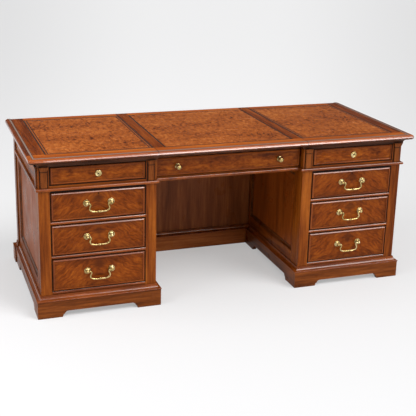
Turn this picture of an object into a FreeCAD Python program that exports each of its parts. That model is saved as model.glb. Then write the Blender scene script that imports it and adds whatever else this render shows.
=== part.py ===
import FreeCAD, Part
import math
import os
from FreeCAD import Vector

# Twin pedestal desk: origin on the floor under the middle, front towards -Y, sizes in millimetres

# Pedestals, kneehole and overhangs: together they give the width and depth of the desk
DRAWER_OPENING_WIDTH = 430.0
STILE_WIDTH = 52.0
KNEEHOLE_WIDTH = 728.0
SIDE_OVERHANG = 42.0
FRONT_OVERHANG = 42.0
PEDESTAL_DEPTH = 696.0
BACK_POST_DEPTH = 50.0
REAR_OVERHANG = 22.0
CENTRE_SET_BACK = 36.0
CENTRE_RAIL_BELOW_WAIST = 4.0
CENTRE_RAIL_HEIGHT = 21.0

# Heights from the floor upwards: together they give the height of the desk
PLINTH_HEIGHT = 80.0
PLINTH_CAP_HEIGHT = 24.0
BOTTOM_RAIL_SHOWN = 16.0
LOW_OPENING = 154.0
MID_OPENING = 144.0
HIGH_OPENING = 134.0
MID_RAIL = 17.0
WAIST_RAIL = 34.0
FRIEZE_OPENING = 83.0
TOP_RAIL = 25.0
TOP_THICK = 22.0

# Desk top
NOSE_RADIUS = 9.5
NOSE_FLATS = 4
TOP_CORNER_RADIUS = 12.0
CORNER_FLATS = 3
CENTRE_NOSE_SET_BACK = 10.0
SEAM_BEYOND_KNEEHOLE = 2.0
FIELD_THICK = 1.5
END_BORDER = 86.0
FRONT_BORDER = 80.0
REAR_BORDER = 60.0
DIVIDER_BAND = 53.0
SEAM_BORDER = 7.0

# Frames and panels
FRAME_THICK = 22.0
TENON_LENGTH = 14.0
TENON_THICK = 7.0
TENON_SHOULDER = 4.0
FRAME_ABOVE_FLOOR = 45.0
STILE_EDGE_RADIUS = 5.0
RAIL_EDGE = 3.0
SIDE_STILE = 62.0
SIDE_TOP_RAIL = 166.0
SIDE_BOTTOM_RAIL = 112.0
PANEL_THICK = 8.0
PANEL_RECESS = 9.0
PANEL_GROOVE = 7.0
PANEL_MOULD_WIDTH = 16.0
PANEL_MOULD_HEIGHT = 7.0
PANEL_MOULD_LIP = 2.0

# Mouldings
COVE_HEIGHT = 23.0
COVE_PROJECTION = 25.0
COVE_LIP = 3.5
WAIST_HEIGHT = 14.0
WAIST_PROJECTION = 11.0
WAIST_ABOVE_STACK = 8.0
BEAD_FLATS = 4
PILASTER_WIDTH = 29.0
PILASTER_PROUD = 7.0
PILASTER_CHAMFER = 2.8
PILASTER_CAP_HEIGHT = 20.0
PILASTER_CAP_FLARE = 5.0

# Plinth and bracket feet
PLINTH_THICK = 20.0
PLINTH_CAP_LIP = 4.0
PLINTH_CAP_SHELF = 3.0
PLINTH_BEAD_RADIUS = 2.0
FOOT_LENGTH = 112.0
CUTOUT_HEIGHT = 28.0
CUTOUT_SHOULDER = 14.0
CUTOUT_CURVE = 26.0
CUTOUT_SLANT = 4.0
CUTOUT_STEP = 9.0

# How far cutters run past the piece that they cut
CUT_MARGIN = 1.0

# Back and kneehole
BACK_POST_PROUD = 6.0
BACK_POST_WIDTH = 60.0
BACK_STILE = 84.0
BACK_RAIL = 90.0
MODESTY_THICK = 18.0
MODESTY_FROM_BACK = 18.0
BOTTOM_BOARD_THICK = 12.0

# Drawers
FRONT_THICK = 22.0
FRONT_PROUD = 2.0
FRONT_EDGE_RADIUS = 4.0
FRONT_EDGE_FLATS = 3
GAP_SIDE = 1.5
GAP_TOP = 1.5
GAP_BOTTOM = 1.0
BOX_WALL = 12.0
BOX_TOP_DROP = 10.0
SPACE_BEHIND_BOX = 102.0
SPACE_BEHIND_CENTRE_BOX = 160.0
BOX_BOTTOM_THICK = 6.0
BOX_BOTTOM_RAISED = 9.0
BOX_GROOVE = 6.0
TAIL_LENGTH = 13.0
TAIL_ROOT = 22.0
TAIL_SPREAD = 3.5
TAIL_PITCH = 40.0

# Drawer runners
RUNNER_BASE = 14.0
RUNNER_GUIDE = 16.0
RUNNER_UNDER_BOX = 14.0
RUNNER_STOP = 14.0
RUN_CLEARANCE = 0.15
GUIDE_CLEARANCE = 1.0
CENTRE_GUIDE_WIDTH = 14.0

# Bail pulls of the stack drawers
PULL_CENTRES = 112.0
PULL_ABOVE_MIDDLE = 8.0
ROSETTE_RADIUS = 15.0
ROSETTE_RIM = 1.6
ROSETTE_DOME_RADIUS = 10.5
ROSETTE_HEIGHT = 7.0
POST_NECK_RADIUS = 4.0
POST_BALL_RADIUS = 7.5
POST_STAND_OFF = 16.5
BAIL_WIRE_RADIUS = 3.1
BAIL_DROP = 38.0
BAIL_PIN_RADIUS = 2.5
BAIL_PIN_FIT = 0.05
BAIL_PIN_LENGTH = 5.5
BAIL_PIN_END_GAP = 0.4
BAIL_STUB = 2.0
BAIL_BEAD_RADIUS = 5.0
BAIL_BEAD_LENGTH = 11.0
BAIL_BALL_GAP = 0.8

# Flats round the small brass parts, and how far a bail's straight lengths leave its curve
POST_FLATS = 8
KNOB_FLATS = 12
LOCK_FLATS = 12
BAIL_FLATS = 8
BAIL_FLATNESS = 0.7
BALL_LATITUDES = (-24, 24, 64)

# Knobs of the centre drawer
KNOB_CENTRES = 510.0
KNOB_BALL_RADIUS = 11.5
KNOB_ROSE_RADIUS = 10.5
KNOB_ROSE_THICK = 3.0
KNOB_NECK_RADIUS = 4.5
KNOB_STAND_OFF = 17.0

# Turning locks of the frieze drawers
LOCK_FLANGE_RADIUS = 15.0
LOCK_FLANGE_THICK = 3.6
LOCK_FACE_RADIUS = 12.0
LOCK_DISH_RADIUS = 10.0
LOCK_BARREL_RADIUS = 9.5
LOCK_PLUG_RADIUS = 6.5
LOCK_PLUG_FIT = 0.05
LOCK_PLUG_SUNK = 0.3
LOCK_KEYWAY_WIDTH = 2.2
LOCK_KEYWAY_HEIGHT = 7.0
LOCK_KEYWAY_DEPTH = 9.0
CAM_LENGTH = 50.0
CAM_WIDTH = 13.0
CAM_THICK = 2.5
CAM_CLEARANCE = 0.6

# Keyholes of the uppermost stack drawers
KEYHOLE_RADIUS = 2.6
KEYHOLE_FLATS = 8
KEYHOLE_SLOT_WIDTH = 2.4
KEYHOLE_DROP = 9.0
KEYHOLE_DEPTH = 11.0
KEYHOLE_BELOW_TOP = 16.0

# Derived places: half widths, depths and levels
X_INNER = KNEEHOLE_WIDTH / 2
X_OUTER = X_INNER + DRAWER_OPENING_WIDTH + 2 * STILE_WIDTH
X_END = X_OUTER + SIDE_OVERHANG
X_PEDESTAL = (X_INNER + X_OUTER) / 2
X_POST = X_OUTER + BACK_POST_PROUD
CENTRE_TOP_WIDTH = KNEEHOLE_WIDTH + 2 * SEAM_BEYOND_KNEEHOLE
X_SEAM = CENTRE_TOP_WIDTH / 2
DESK_DEPTH = FRONT_OVERHANG + PEDESTAL_DEPTH + BACK_POST_DEPTH + REAR_OVERHANG
Y_TOP_FRONT = -DESK_DEPTH / 2
Y_FACE = Y_TOP_FRONT + FRONT_OVERHANG
Y_FRAME_BACK = Y_FACE + FRAME_THICK
Y_CENTRE = Y_FACE + CENTRE_SET_BACK
Y_BACK_UNIT = Y_FACE + PEDESTAL_DEPTH
Y_REAR = Y_BACK_UNIT + BACK_POST_DEPTH
Y_TOP_REAR = Y_REAR + REAR_OVERHANG
Y_MODESTY = Y_BACK_UNIT - MODESTY_FROM_BACK - MODESTY_THICK
Z_CAP = PLINTH_HEIGHT
Z_PLINTH_TOP = PLINTH_HEIGHT + PLINTH_CAP_HEIGHT
Z_STACK = Z_PLINTH_TOP + BOTTOM_RAIL_SHOWN
STACK_OPENINGS = (LOW_OPENING, MID_OPENING, HIGH_OPENING)
STACK_NAMES = ("low", "mid", "high")
Z_WAIST_RAIL = Z_STACK + sum(STACK_OPENINGS) + (len(STACK_OPENINGS) - 1) * MID_RAIL
Z_FRIEZE = Z_WAIST_RAIL + WAIST_RAIL
Z_TOP_RAIL = Z_FRIEZE + FRIEZE_OPENING
Z_SOFFIT = Z_TOP_RAIL + TOP_RAIL
Z_TOP = Z_SOFFIT + TOP_THICK
Z_COVE = Z_SOFFIT - COVE_HEIGHT
Z_WAIST = Z_WAIST_RAIL + WAIST_ABOVE_STACK
Z_WAIST_TOP = Z_WAIST + WAIST_HEIGHT
Z_CENTRE_RAIL = Z_WAIST - CENTRE_RAIL_BELOW_WAIST
Z_CENTRE = Z_CENTRE_RAIL + CENTRE_RAIL_HEIGHT
CENTRE_OPENING = Z_TOP_RAIL - Z_CENTRE
BOX_LENGTH = PEDESTAL_DEPTH + FRONT_PROUD - FRONT_THICK - RUNNER_STOP - SPACE_BEHIND_BOX
CENTRE_BOX_LENGTH = (Y_MODESTY - Y_CENTRE + FRONT_PROUD - FRONT_THICK - RUNNER_STOP
                     - SPACE_BEHIND_CENTRE_BOX)


# General helpers

def block(xa, xb, ya, yb, za, zb):
    corner = Vector(min(xa, xb), min(ya, yb), min(za, zb))
    return Part.makeBox(abs(xb - xa), abs(yb - ya), abs(zb - za), corner)


def mirrored(shape):
    return shape.mirror(Vector(0, 0, 0), Vector(1, 0, 0))


def both_sides(shapes):
    return list(shapes) + [mirrored(shape) for shape in shapes]


def save(node, shapes):
    solids = [solid for shape in shapes for solid in shape.Solids]
    body = solids[0] if len(solids) == 1 else Part.makeCompound(solids)
    body.exportStep("parts/" + node + ".step")


def outline_wire(start, steps, place):
    """Closed outline: a step is an end point, or a point to pass and an end point for an arc."""
    edges = []
    here = place(*start)
    for step in steps:
        end = place(*step[-1])
        if len(step) == 2:
            edges.append(Part.Arc(here, place(*step[0]), end).toShape())
        else:
            edges.append(Part.makeLine(here, end))
        here = end
    first = place(*start)
    if here.distanceToPoint(first) > 1e-6:
        edges.append(Part.makeLine(here, first))
    return Part.Wire(edges)


def prism(points, height):
    ring = [Vector(*point) for point in points]
    face = Part.Face(Part.makePolygon(ring + ring[:1]))
    return face.extrude(Vector(0, 0, height))


def flat_face(corners):
    return Part.Face(Part.makePolygon(corners + corners[:1]))


def skin(rings, closed=False):
    """Solid with flat faces between rings of corners; a closed row of rings leaves a bore."""
    count = len(rings) if closed else len(rings) - 1
    faces = []
    for index in range(count):
        here = rings[index]
        ahead = rings[(index + 1) % len(rings)]
        for corner in range(len(here)):
            after = (corner + 1) % len(here)
            faces.append(flat_face([here[corner], here[after], ahead[after], ahead[corner]]))
    if not closed:
        faces += [flat_face(rings[0]), flat_face(rings[-1])]
    return Part.makeSolid(Part.makeShell(faces))


def flat_ring(centre, across, up, radius, flats):
    """Corners of an even ring whose flats lie at the given radius, one of them towards across."""
    corner_radius = radius / math.cos(math.pi / flats)
    corners = []
    for number in range(flats):
        angle = 2 * math.pi * (number + 0.5) / flats
        spread = across * math.cos(angle) + up * math.sin(angle)
        corners.append(centre + spread * corner_radius)
    return corners


def inside_circle(radius, flats):
    """Radius of the flats when the corners keep within a circle, as on a shaft that turns."""
    return radius * math.cos(math.pi / flats)


def turned(outline, flats, centre, closed=False):
    """Turned brass with flats: the outline holds radius and distance out from a drawer front."""
    rings = []
    for radius, out in outline:
        rings.append(flat_ring(centre - Vector(0, out, 0), Vector(1, 0, 0), Vector(0, 0, 1), radius, flats))
    return skin(rings, closed)


def ball_outline(radius, neck, middle):
    """Ball on a neck: where it leaves the neck, two rings round its waist and a small flat in front."""
    outline = [(neck, middle - math.sqrt(radius ** 2 - neck ** 2))]
    for latitude in BALL_LATITUDES:
        angle = math.radians(latitude)
        outline.append((radius * math.cos(angle), middle + radius * math.sin(angle)))
    return outline


def edges_on_plane(shape, axis, value):
    """Edges that lie wholly in the plane where one coordinate has the given value."""
    chosen = []
    for edge in shape.Edges:
        box = edge.BoundBox
        low, high = {"x": (box.XMin, box.XMax), "y": (box.YMin, box.YMax), "z": (box.ZMin, box.ZMax)}[axis]
        if abs(low - value) < 1e-4 and abs(high - value) < 1e-4:
            chosen.append(edge)
    return chosen


def mitre_vector(normal_before, normal_after):
    both = normal_before + normal_after
    return both * (1.0 / (1.0 + normal_before.dot(normal_after)))


def mitred_run(start, steps, corners, level, closed=False):
    """Straight lengths of one moulding along a path, mitred where they meet.

    The outline holds distance out from the path and height; out is to the right of travel."""
    points = [Vector(x, y, 0) for x, y in corners]
    count = len(points) if closed else len(points) - 1
    legs = []
    for index in range(count):
        travel = points[(index + 1) % len(points)] - points[index]
        travel.normalize()
        legs.append((travel, Vector(travel.y, -travel.x, 0)))
    reach = max(point[0] for step in steps for point in step) + CUT_MARGIN
    tall = max(point[1] for step in steps for point in step) + 2 * CUT_MARGIN
    pieces = []
    for index in range(count):
        travel, normal = legs[index]
        begin = points[index]
        end = points[(index + 1) % len(points)]
        mitre_begin = normal
        mitre_end = normal
        if closed or index > 0:
            mitre_begin = mitre_vector(legs[index - 1][1], normal)
        if closed or index < count - 1:
            mitre_end = mitre_vector(normal, legs[(index + 1) % count][1])
        origin = begin - travel * reach

        def place(out, up):
            return origin + normal * out + Vector(0, 0, level + up)

        face = Part.Face(outline_wire(start, steps, place))
        stick = face.extrude(travel * (begin.distanceToPoint(end) + 2 * reach))
        low = level - CUT_MARGIN
        ring = [begin - mitre_begin * CUT_MARGIN, end - mitre_end * CUT_MARGIN,
                end + mitre_end * reach, begin + mitre_begin * reach]
        wedge = prism([(point.x, point.y, low) for point in ring], tall)
        pieces.append(stick.common(wedge))
    return pieces


def half_round(root, low, radius):
    """Steps of a half round that stands out from root and rises from low, drawn with flats."""
    steps = []
    for number in range(1, BEAD_FLATS + 1):
        angle = math.radians(180 * number / BEAD_FLATS)
        steps.append(((root + radius * math.sin(angle), low + radius * (1 - math.cos(angle))),))
    return steps


def framing(width, base, top, stile, rails, thick):
    """Two stiles and tenoned rails standing in the plane y = 0, front towards -Y, left edge at x = 0."""
    left = block(0, stile, 0, thick, base, top)
    right = block(width - stile, width, 0, thick, base, top)
    cheek = (thick - TENON_THICK) / 2
    bars = []
    for low, high in rails:
        bar = block(stile, width - stile, 0, thick, low, high)
        tongue = block(stile - TENON_LENGTH, width - stile + TENON_LENGTH, cheek, cheek + TENON_THICK,
                       low + TENON_SHOULDER, high - TENON_SHOULDER)
        left = left.cut(tongue)
        right = right.cut(tongue)
        bars.append(bar.fuse(tongue).removeSplitter())
    return left, right, bars


def stood(pieces, seat):
    """Turns work that lies flat upright on the plane y = seat, with its top towards -Y."""
    upright = [piece.rotated(Vector(0, 0, 0), Vector(1, 0, 0), 90) for piece in pieces]
    return [piece.translated(Vector(0, seat, 0)) for piece in upright]


def panel_moulding(u0, u1, v0, v1, seat):
    """Small hollow moulding round an opening, lying on the panel that stands at y = seat."""
    tall = PANEL_MOULD_HEIGHT
    wide = PANEL_MOULD_WIDTH
    lip = PANEL_MOULD_LIP
    bend = (lip + 0.3 * (wide - lip), lip + 0.3 * (tall - lip))
    steps = [((0, tall),), ((lip, tall),), (bend, (wide, lip)), ((wide, 0),)]
    loop = [(u0, v0), (u0, v1), (u1, v1), (u1, v0)]
    return stood(mitred_run((0, 0), steps, loop, 0, closed=True), seat)


# Desk top in three sections with burl fields

def nose_stations():
    """Nose from the underside to the upper face: how far it stands in from the edge, and its level."""
    stations = []
    for number in range(NOSE_FLATS + 1):
        angle = math.radians(90 * number / NOSE_FLATS)
        stations.append((NOSE_RADIUS * (1 - math.sin(angle)), NOSE_RADIUS * (1 - math.cos(angle))))
    lower = [(inset, Z_SOFFIT + rise) for inset, rise in stations]
    return lower + [(inset, Z_TOP - rise) for inset, rise in reversed(stations)]


def rounded_corner(x, y, toward_x, toward_y, radius, inset):
    """Corner of the top in plan, from its side edge round to its front or rear edge."""
    centre_x = x + toward_x * radius
    centre_y = y + toward_y * radius
    points = []
    for number in range(CORNER_FLATS + 1):
        angle = math.radians(90 * number / CORNER_FLATS)
        points.append((centre_x - toward_x * (radius - inset) * math.cos(angle),
                       centre_y - toward_y * (radius - inset) * math.sin(angle)))
    return points


def end_section(x0, x1, front):
    """Left length of the top: nose on three sides, rounded at its two free corners."""
    rings = []
    for inset, level in nose_stations():
        plan = rounded_corner(x0, front, 1, 1, TOP_CORNER_RADIUS, inset)
        plan += [(x1, front + inset), (x1, Y_TOP_REAR - inset)]
        plan += reversed(rounded_corner(x0, Y_TOP_REAR, 1, -1, TOP_CORNER_RADIUS, inset))
        rings.append([Vector(x, y, level) for x, y in plan])
    return skin(rings).removeSplitter()


def middle_section(x0, x1, front):
    """Centre length of the top: nose in front and behind, straight seams at its ends."""
    outline = [Vector(x0, front + inset, level) for inset, level in nose_stations()]
    outline += [Vector(x0, Y_TOP_REAR - inset, level) for inset, level in reversed(nose_stations())]
    return flat_face(outline).extrude(Vector(x1 - x0, 0, 0))


def field_block(x0, x1, front):
    return block(x0, x1, front + FRONT_BORDER, Y_TOP_REAR - REAR_BORDER, Z_TOP - FIELD_THICK, Z_TOP)


def make_top():
    left = end_section(-X_END, -X_SEAM, Y_TOP_FRONT)
    centre_front = Y_TOP_FRONT + CENTRE_NOSE_SET_BACK
    centre = middle_section(-X_SEAM, X_SEAM, centre_front)
    left_field = field_block(-X_END + END_BORDER, -X_SEAM - SEAM_BORDER, Y_TOP_FRONT)
    centre_half = X_SEAM - DIVIDER_BAND
    centre_field = field_block(-centre_half, centre_half, Y_TOP_FRONT)
    left = left.cut(left_field)
    save("top_left", [left])
    save("top_right", [mirrored(left)])
    save("top_centre", [centre.cut(centre_field)])
    save("top_fields", both_sides([left_field]) + [centre_field])


def make_cove():
    """Cove under the top, following every face of the carcass."""
    corners = [(-X_POST, Y_REAR), (-X_POST, Y_BACK_UNIT), (-X_OUTER, Y_BACK_UNIT), (-X_OUTER, Y_FACE),
               (-X_INNER, Y_FACE), (-X_INNER, Y_CENTRE), (X_INNER, Y_CENTRE), (X_INNER, Y_FACE),
               (X_OUTER, Y_FACE), (X_OUTER, Y_BACK_UNIT), (X_POST, Y_BACK_UNIT), (X_POST, Y_REAR)]
    lip = COVE_LIP
    rise = COVE_HEIGHT - lip
    bend = (lip + 0.3 * (COVE_PROJECTION - lip), rise - 0.3 * (rise - lip))
    steps = [((lip, 0),), ((lip, lip),), (bend, (COVE_PROJECTION, rise)), ((COVE_PROJECTION, COVE_HEIGHT),),
             ((0, COVE_HEIGHT),)]
    save("top_cove", mitred_run((0, 0), steps, corners, Z_COVE))


# Pedestals

def runner_seat(level):
    """Top of a runner for the drawer whose opening starts at the given level."""
    return level + GAP_BOTTOM - RUN_CLEARANCE


def stack_levels():
    """Level at which each stack opening starts, from the lowest up."""
    return [Z_STACK + sum(STACK_OPENINGS[:index]) + index * MID_RAIL for index in range(len(STACK_OPENINGS))]


def make_face_frame():
    """Face frame of the left pedestal: stiles, top, waist, dividing and bottom rails."""
    wide = [(FRAME_ABOVE_FLOOR, Z_STACK), (Z_WAIST_RAIL, Z_FRIEZE), (Z_TOP_RAIL, Z_SOFFIT)]
    dividing = [(level - MID_RAIL, level) for level in stack_levels()[1:]]
    width = X_OUTER - X_INNER
    rails = wide + dividing
    outer, inner, bars = framing(width, FRAME_ABOVE_FLOOR, Z_SOFFIT, STILE_WIDTH, rails, FRAME_THICK)
    corner = [edge for edge in edges_on_plane(outer, "y", 0) if edge.BoundBox.XMax < 1e-4]
    outer = outer.makeFillet(STILE_EDGE_RADIUS, corner)
    pieces = [outer, inner] + bars[:len(wide)] + [eased_rail(bar) for bar in bars[len(wide):]]
    return [piece.translated(Vector(-X_OUTER, Y_FACE, 0)) for piece in pieces]


def eased_rail(bar):
    long_edges = [edge for edge in edges_on_plane(bar, "y", 0) if edge.BoundBox.XLength > STILE_WIDTH]
    return bar.makeChamfer(RAIL_EDGE, long_edges)


def side_frame_local():
    """One pedestal side lying along local x: grooved stiles, tongued rails, panel and moulding."""
    length = Y_BACK_UNIT - Y_FRAME_BACK
    low = FRAME_ABOVE_FLOOR + SIDE_BOTTOM_RAIL
    high = Z_SOFFIT - SIDE_TOP_RAIL
    left_edge = SIDE_STILE - PANEL_GROOVE
    right_edge = length - SIDE_STILE + PANEL_GROOVE

    def tongue(base, top):
        return block(left_edge, right_edge, PANEL_RECESS, PANEL_RECESS + PANEL_THICK, base, top)

    panel = tongue(low - PANEL_GROOVE, high + PANEL_GROOVE)
    groove = tongue(FRAME_ABOVE_FLOOR, Z_SOFFIT)
    pieces = []
    for x0, x1 in ((0, SIDE_STILE), (length - SIDE_STILE, length)):
        pieces.append(block(x0, x1, 0, FRAME_THICK, FRAME_ABOVE_FLOOR, Z_SOFFIT).cut(groove))
    for base, top in ((FRAME_ABOVE_FLOOR, low), (high, Z_SOFFIT)):
        rail = block(SIDE_STILE, length - SIDE_STILE, 0, FRAME_THICK, base, top)
        pieces.append(rail.fuse(tongue(base, top)).cut(panel).removeSplitter())
    moulding = panel_moulding(SIDE_STILE, length - SIDE_STILE, low, high, PANEL_RECESS)
    return pieces, [panel], moulding


def stand_side(shapes, x, facing):
    """Turns local side work so that its front looks along facing (-1 or +1) at the wall x."""
    placed = []
    for shape in shapes:
        copy = shape.copy()
        if facing < 0:
            copy.rotate(Vector(0, 0, 0), Vector(0, 0, 1), -90)
            copy.translate(Vector(x, Y_BACK_UNIT, 0))
        else:
            copy.rotate(Vector(0, 0, 0), Vector(0, 0, 1), 90)
            copy.translate(Vector(x, Y_FRAME_BACK, 0))
        placed.append(copy)
    return placed


def make_pedestals():
    frame = make_face_frame()
    save("face_frame_left", frame)
    save("face_frame_right", [mirrored(piece) for piece in frame])
    pieces, panel, moulding = side_frame_local()
    save("side_frames_outer", both_sides(stand_side(pieces, -X_OUTER, -1)))
    save("side_frames_inner", both_sides(stand_side(pieces, -X_INNER, 1)))
    panels = stand_side(panel, -X_OUTER, -1) + stand_side(panel, -X_INNER, 1)
    save("side_panels", both_sides(panels))
    frames = stand_side(moulding, -X_OUTER, -1) + stand_side(moulding, -X_INNER, 1)
    save("panel_mouldings", both_sides(frames))
    board_top = runner_seat(Z_STACK) - RUNNER_BASE
    board = block(-X_OUTER + FRAME_THICK, -X_INNER - FRAME_THICK, Y_FRAME_BACK, Y_BACK_UNIT,
                  board_top - BOTTOM_BOARD_THICK, board_top)
    save("bottom_boards", both_sides([board]))


def make_waist():
    """Rounded waist moulding along both pedestals and the centre rail."""
    half = WAIST_HEIGHT / 2
    neck = WAIST_PROJECTION - half
    steps = [((neck, 0),)] + half_round(neck, 0, half) + [((0, WAIST_HEIGHT),)]
    corners = [(-X_OUTER, Y_BACK_UNIT), (-X_OUTER, Y_FACE), (-X_INNER, Y_FACE), (-X_INNER, Y_CENTRE),
               (X_INNER, Y_CENTRE), (X_INNER, Y_FACE), (X_OUTER, Y_FACE), (X_OUTER, Y_BACK_UNIT)]
    save("waist_moulding", mitred_run((0, 0), steps, corners, Z_WAIST))


def pilaster(middle, wall):
    """Raised block on the frieze with a flared cap, standing on the waist moulding."""
    half = PILASTER_WIDTH / 2
    front = wall - PILASTER_PROUD
    cap_level = Z_COVE - PILASTER_CAP_HEIGHT
    shaft = block(middle - half, middle + half, front, wall, Z_WAIST_TOP, cap_level)
    uprights = [edge for edge in edges_on_plane(shaft, "y", front) if edge.BoundBox.ZLength > half]
    shaft = shaft.makeChamfer(PILASTER_CHAMFER, uprights)
    wide = half + PILASTER_CAP_FLARE
    flared = front - PILASTER_CAP_FLARE
    low = [Vector(middle - half, wall, cap_level), Vector(middle - half, front, cap_level),
           Vector(middle + half, front, cap_level), Vector(middle + half, wall, cap_level)]
    high = [Vector(middle - wide, wall, Z_COVE), Vector(middle - wide, flared, Z_COVE),
            Vector(middle + wide, flared, Z_COVE), Vector(middle + wide, wall, Z_COVE)]
    return shaft.fuse(skin([low, high])).removeSplitter()


def make_pilasters():
    middles = (-X_OUTER + STILE_WIDTH / 2, -X_INNER - STILE_WIDTH / 2)
    blocks = [pilaster(middle, Y_FACE) for middle in middles]
    side_block = pilaster(0, 0)
    side_block.rotate(Vector(0, 0, 0), Vector(0, 0, 1), -90)
    side_block.translate(Vector(-X_OUTER, Y_FACE + STILE_WIDTH / 2, 0))
    save("pilaster_blocks", both_sides(blocks + [side_block]))


# Plinths

def bracket_cutter(length):
    """Space between two bracket feet along local x; its arcs end level with the flat of the cut."""
    def place(along, up):
        return Vector(along, -3 * PLINTH_THICK, up)

    end = length - FOOT_LENGTH
    below = -CUT_MARGIN
    run = CUTOUT_CURVE - CUTOUT_STEP
    rise = CUTOUT_HEIGHT - CUTOUT_SHOULDER
    radius = (run ** 2 + rise ** 2) / (2 * rise)
    half_turn = math.atan2(run, radius - rise) / 2
    bend = run - radius * math.sin(half_turn)
    level = CUTOUT_HEIGHT - radius * (1 - math.cos(half_turn))
    steps = [((FOOT_LENGTH, 0),), ((FOOT_LENGTH + CUTOUT_SLANT, CUTOUT_SHOULDER),),
             ((FOOT_LENGTH + CUTOUT_STEP, CUTOUT_SHOULDER),),
             ((FOOT_LENGTH + CUTOUT_STEP + bend, level), (FOOT_LENGTH + CUTOUT_CURVE, CUTOUT_HEIGHT)),
             ((end - CUTOUT_CURVE, CUTOUT_HEIGHT),),
             ((end - CUTOUT_STEP - bend, level), (end - CUTOUT_STEP, CUTOUT_SHOULDER)),
             ((end - CUTOUT_SLANT, CUTOUT_SHOULDER),), ((end, 0),), ((end, below),)]
    wire = outline_wire((FOOT_LENGTH, below), steps, place)
    return Part.Face(wire).extrude(Vector(0, 6 * PLINTH_THICK, 0))


def plinth_board_steps():
    return [((PLINTH_THICK, 0),), ((PLINTH_THICK, PLINTH_HEIGHT),), ((0, PLINTH_HEIGHT),)]


def plinth_cap_steps():
    """Bead, small shelf and cove from the plinth up to the carcass."""
    lip = PLINTH_CAP_LIP
    top = PLINTH_CAP_HEIGHT
    shelf = PLINTH_THICK - PLINTH_CAP_SHELF
    cove_low = 2 * PLINTH_BEAD_RADIUS
    cove_top = top - lip
    bend = (lip + 0.3 * (shelf - lip), cove_low + 0.3 * (cove_top - cove_low))
    return ([((PLINTH_THICK, 0),)] + half_round(PLINTH_THICK, 0, PLINTH_BEAD_RADIUS)
            + [((shelf, cove_low),), (bend, (lip, cove_top)), ((lip, top),), ((0, top),)])


def make_plinths():
    """One plinth follows the pedestals and crosses the kneehole in front of the modesty panel."""
    path = [(-X_OUTER, Y_BACK_UNIT), (-X_OUTER, Y_FACE), (-X_INNER, Y_FACE), (-X_INNER, Y_MODESTY),
            (X_INNER, Y_MODESTY), (X_INNER, Y_FACE), (X_OUTER, Y_FACE), (X_OUTER, Y_BACK_UNIT)]
    boards = mitred_run((0, 0), plinth_board_steps(), path, 0)
    caps = mitred_run((0, 0), plinth_cap_steps(), path, Z_CAP)
    crossing = len(boards) // 2
    front_cut = bracket_cutter(X_OUTER - X_INNER + 2 * PLINTH_THICK)
    front_cut.translate(Vector(-X_OUTER - PLINTH_THICK, Y_FACE, 0))
    side_cut = bracket_cutter(Y_BACK_UNIT - Y_FACE + PLINTH_THICK)
    inner_cut = bracket_cutter(Y_MODESTY - Y_FACE)
    for cut, x in ((side_cut, -X_OUTER), (inner_cut, -X_INNER)):
        cut.rotate(Vector(0, 0, 0), Vector(0, 0, 1), 90)
        cut.translate(Vector(x, Y_FACE - PLINTH_THICK, 0))
    feet = [boards[0].cut(side_cut), boards[1].cut(front_cut), boards[2].cut(inner_cut)]
    save("plinths", both_sides(feet))
    save("plinth_caps", caps[:crossing] + caps[crossing + 1:])
    save("modesty_plinth", [boards[crossing], caps[crossing]])


# Back and kneehole

def make_back():
    """Full width back: posts at the ends, stiles behind the kneehole walls, rails and three panels."""
    inset = (BACK_POST_DEPTH - FRAME_THICK) / 2
    front = Y_BACK_UNIT + inset
    rear = front + FRAME_THICK
    base = FRAME_ABOVE_FLOOR
    post = block(-X_POST, -X_POST + BACK_POST_WIDTH, Y_BACK_UNIT, Y_REAR, base, Z_SOFFIT)
    stile = block(-X_INNER - BACK_STILE / 2, -X_INNER + BACK_STILE / 2, Y_BACK_UNIT, rear, base, Z_SOFFIT)
    uprights = both_sides([post, stile])
    spans = [(-X_POST + BACK_POST_WIDTH, -X_INNER - BACK_STILE / 2), (-X_INNER + BACK_STILE / 2,
             X_INNER - BACK_STILE / 2), (X_INNER + BACK_STILE / 2, X_POST - BACK_POST_WIDTH)]
    rails = []
    panels = []
    for x0, x1 in spans:
        for low, high in ((base, base + BACK_RAIL), (Z_SOFFIT - BACK_RAIL, Z_SOFFIT)):
            rails.append(block(x0, x1, front, rear, low, high))
        middle = (front + rear) / 2
        panels.append(block(x0 - PANEL_GROOVE, x1 + PANEL_GROOVE, middle - PANEL_THICK / 2,
                            middle + PANEL_THICK / 2, base + BACK_RAIL - PANEL_GROOVE,
                            Z_SOFFIT - BACK_RAIL + PANEL_GROOVE))
    framework = []
    for piece in uprights + rails:
        for panel in panels:
            piece = piece.cut(panel)
        framework.append(piece)
    save("back_frame", framework)
    save("back_panels", panels)
    outward = [(X_POST, Y_BACK_UNIT), (X_POST, Y_REAR), (-X_POST, Y_REAR), (-X_POST, Y_BACK_UNIT)]
    boards = mitred_run((0, 0), plinth_board_steps(), outward, 0)
    caps = mitred_run((0, 0), plinth_cap_steps(), outward, Z_CAP)
    back_cut = bracket_cutter(2 * (X_POST + PLINTH_THICK))
    back_cut.translate(Vector(-X_POST - PLINTH_THICK, Y_REAR, 0))
    save("back_plinth", [board.cut(back_cut) for board in boards] + caps)


def make_modesty():
    """Plain panel that closes the kneehole."""
    panel = block(-X_INNER, X_INNER, Y_MODESTY, Y_MODESTY + MODESTY_THICK, FRAME_ABOVE_FLOOR, Z_SOFFIT)
    save("modesty_panel", [panel])


def make_centre_rails():
    low = block(-X_INNER, X_INNER, Y_CENTRE, Y_CENTRE + FRAME_THICK, Z_CENTRE_RAIL, Z_CENTRE)
    high = block(-X_INNER, X_INNER, Y_CENTRE, Y_CENTRE + FRAME_THICK, Z_TOP_RAIL, Z_SOFFIT)
    save("centre_rails", [low, high])


# Drawer runners

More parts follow.
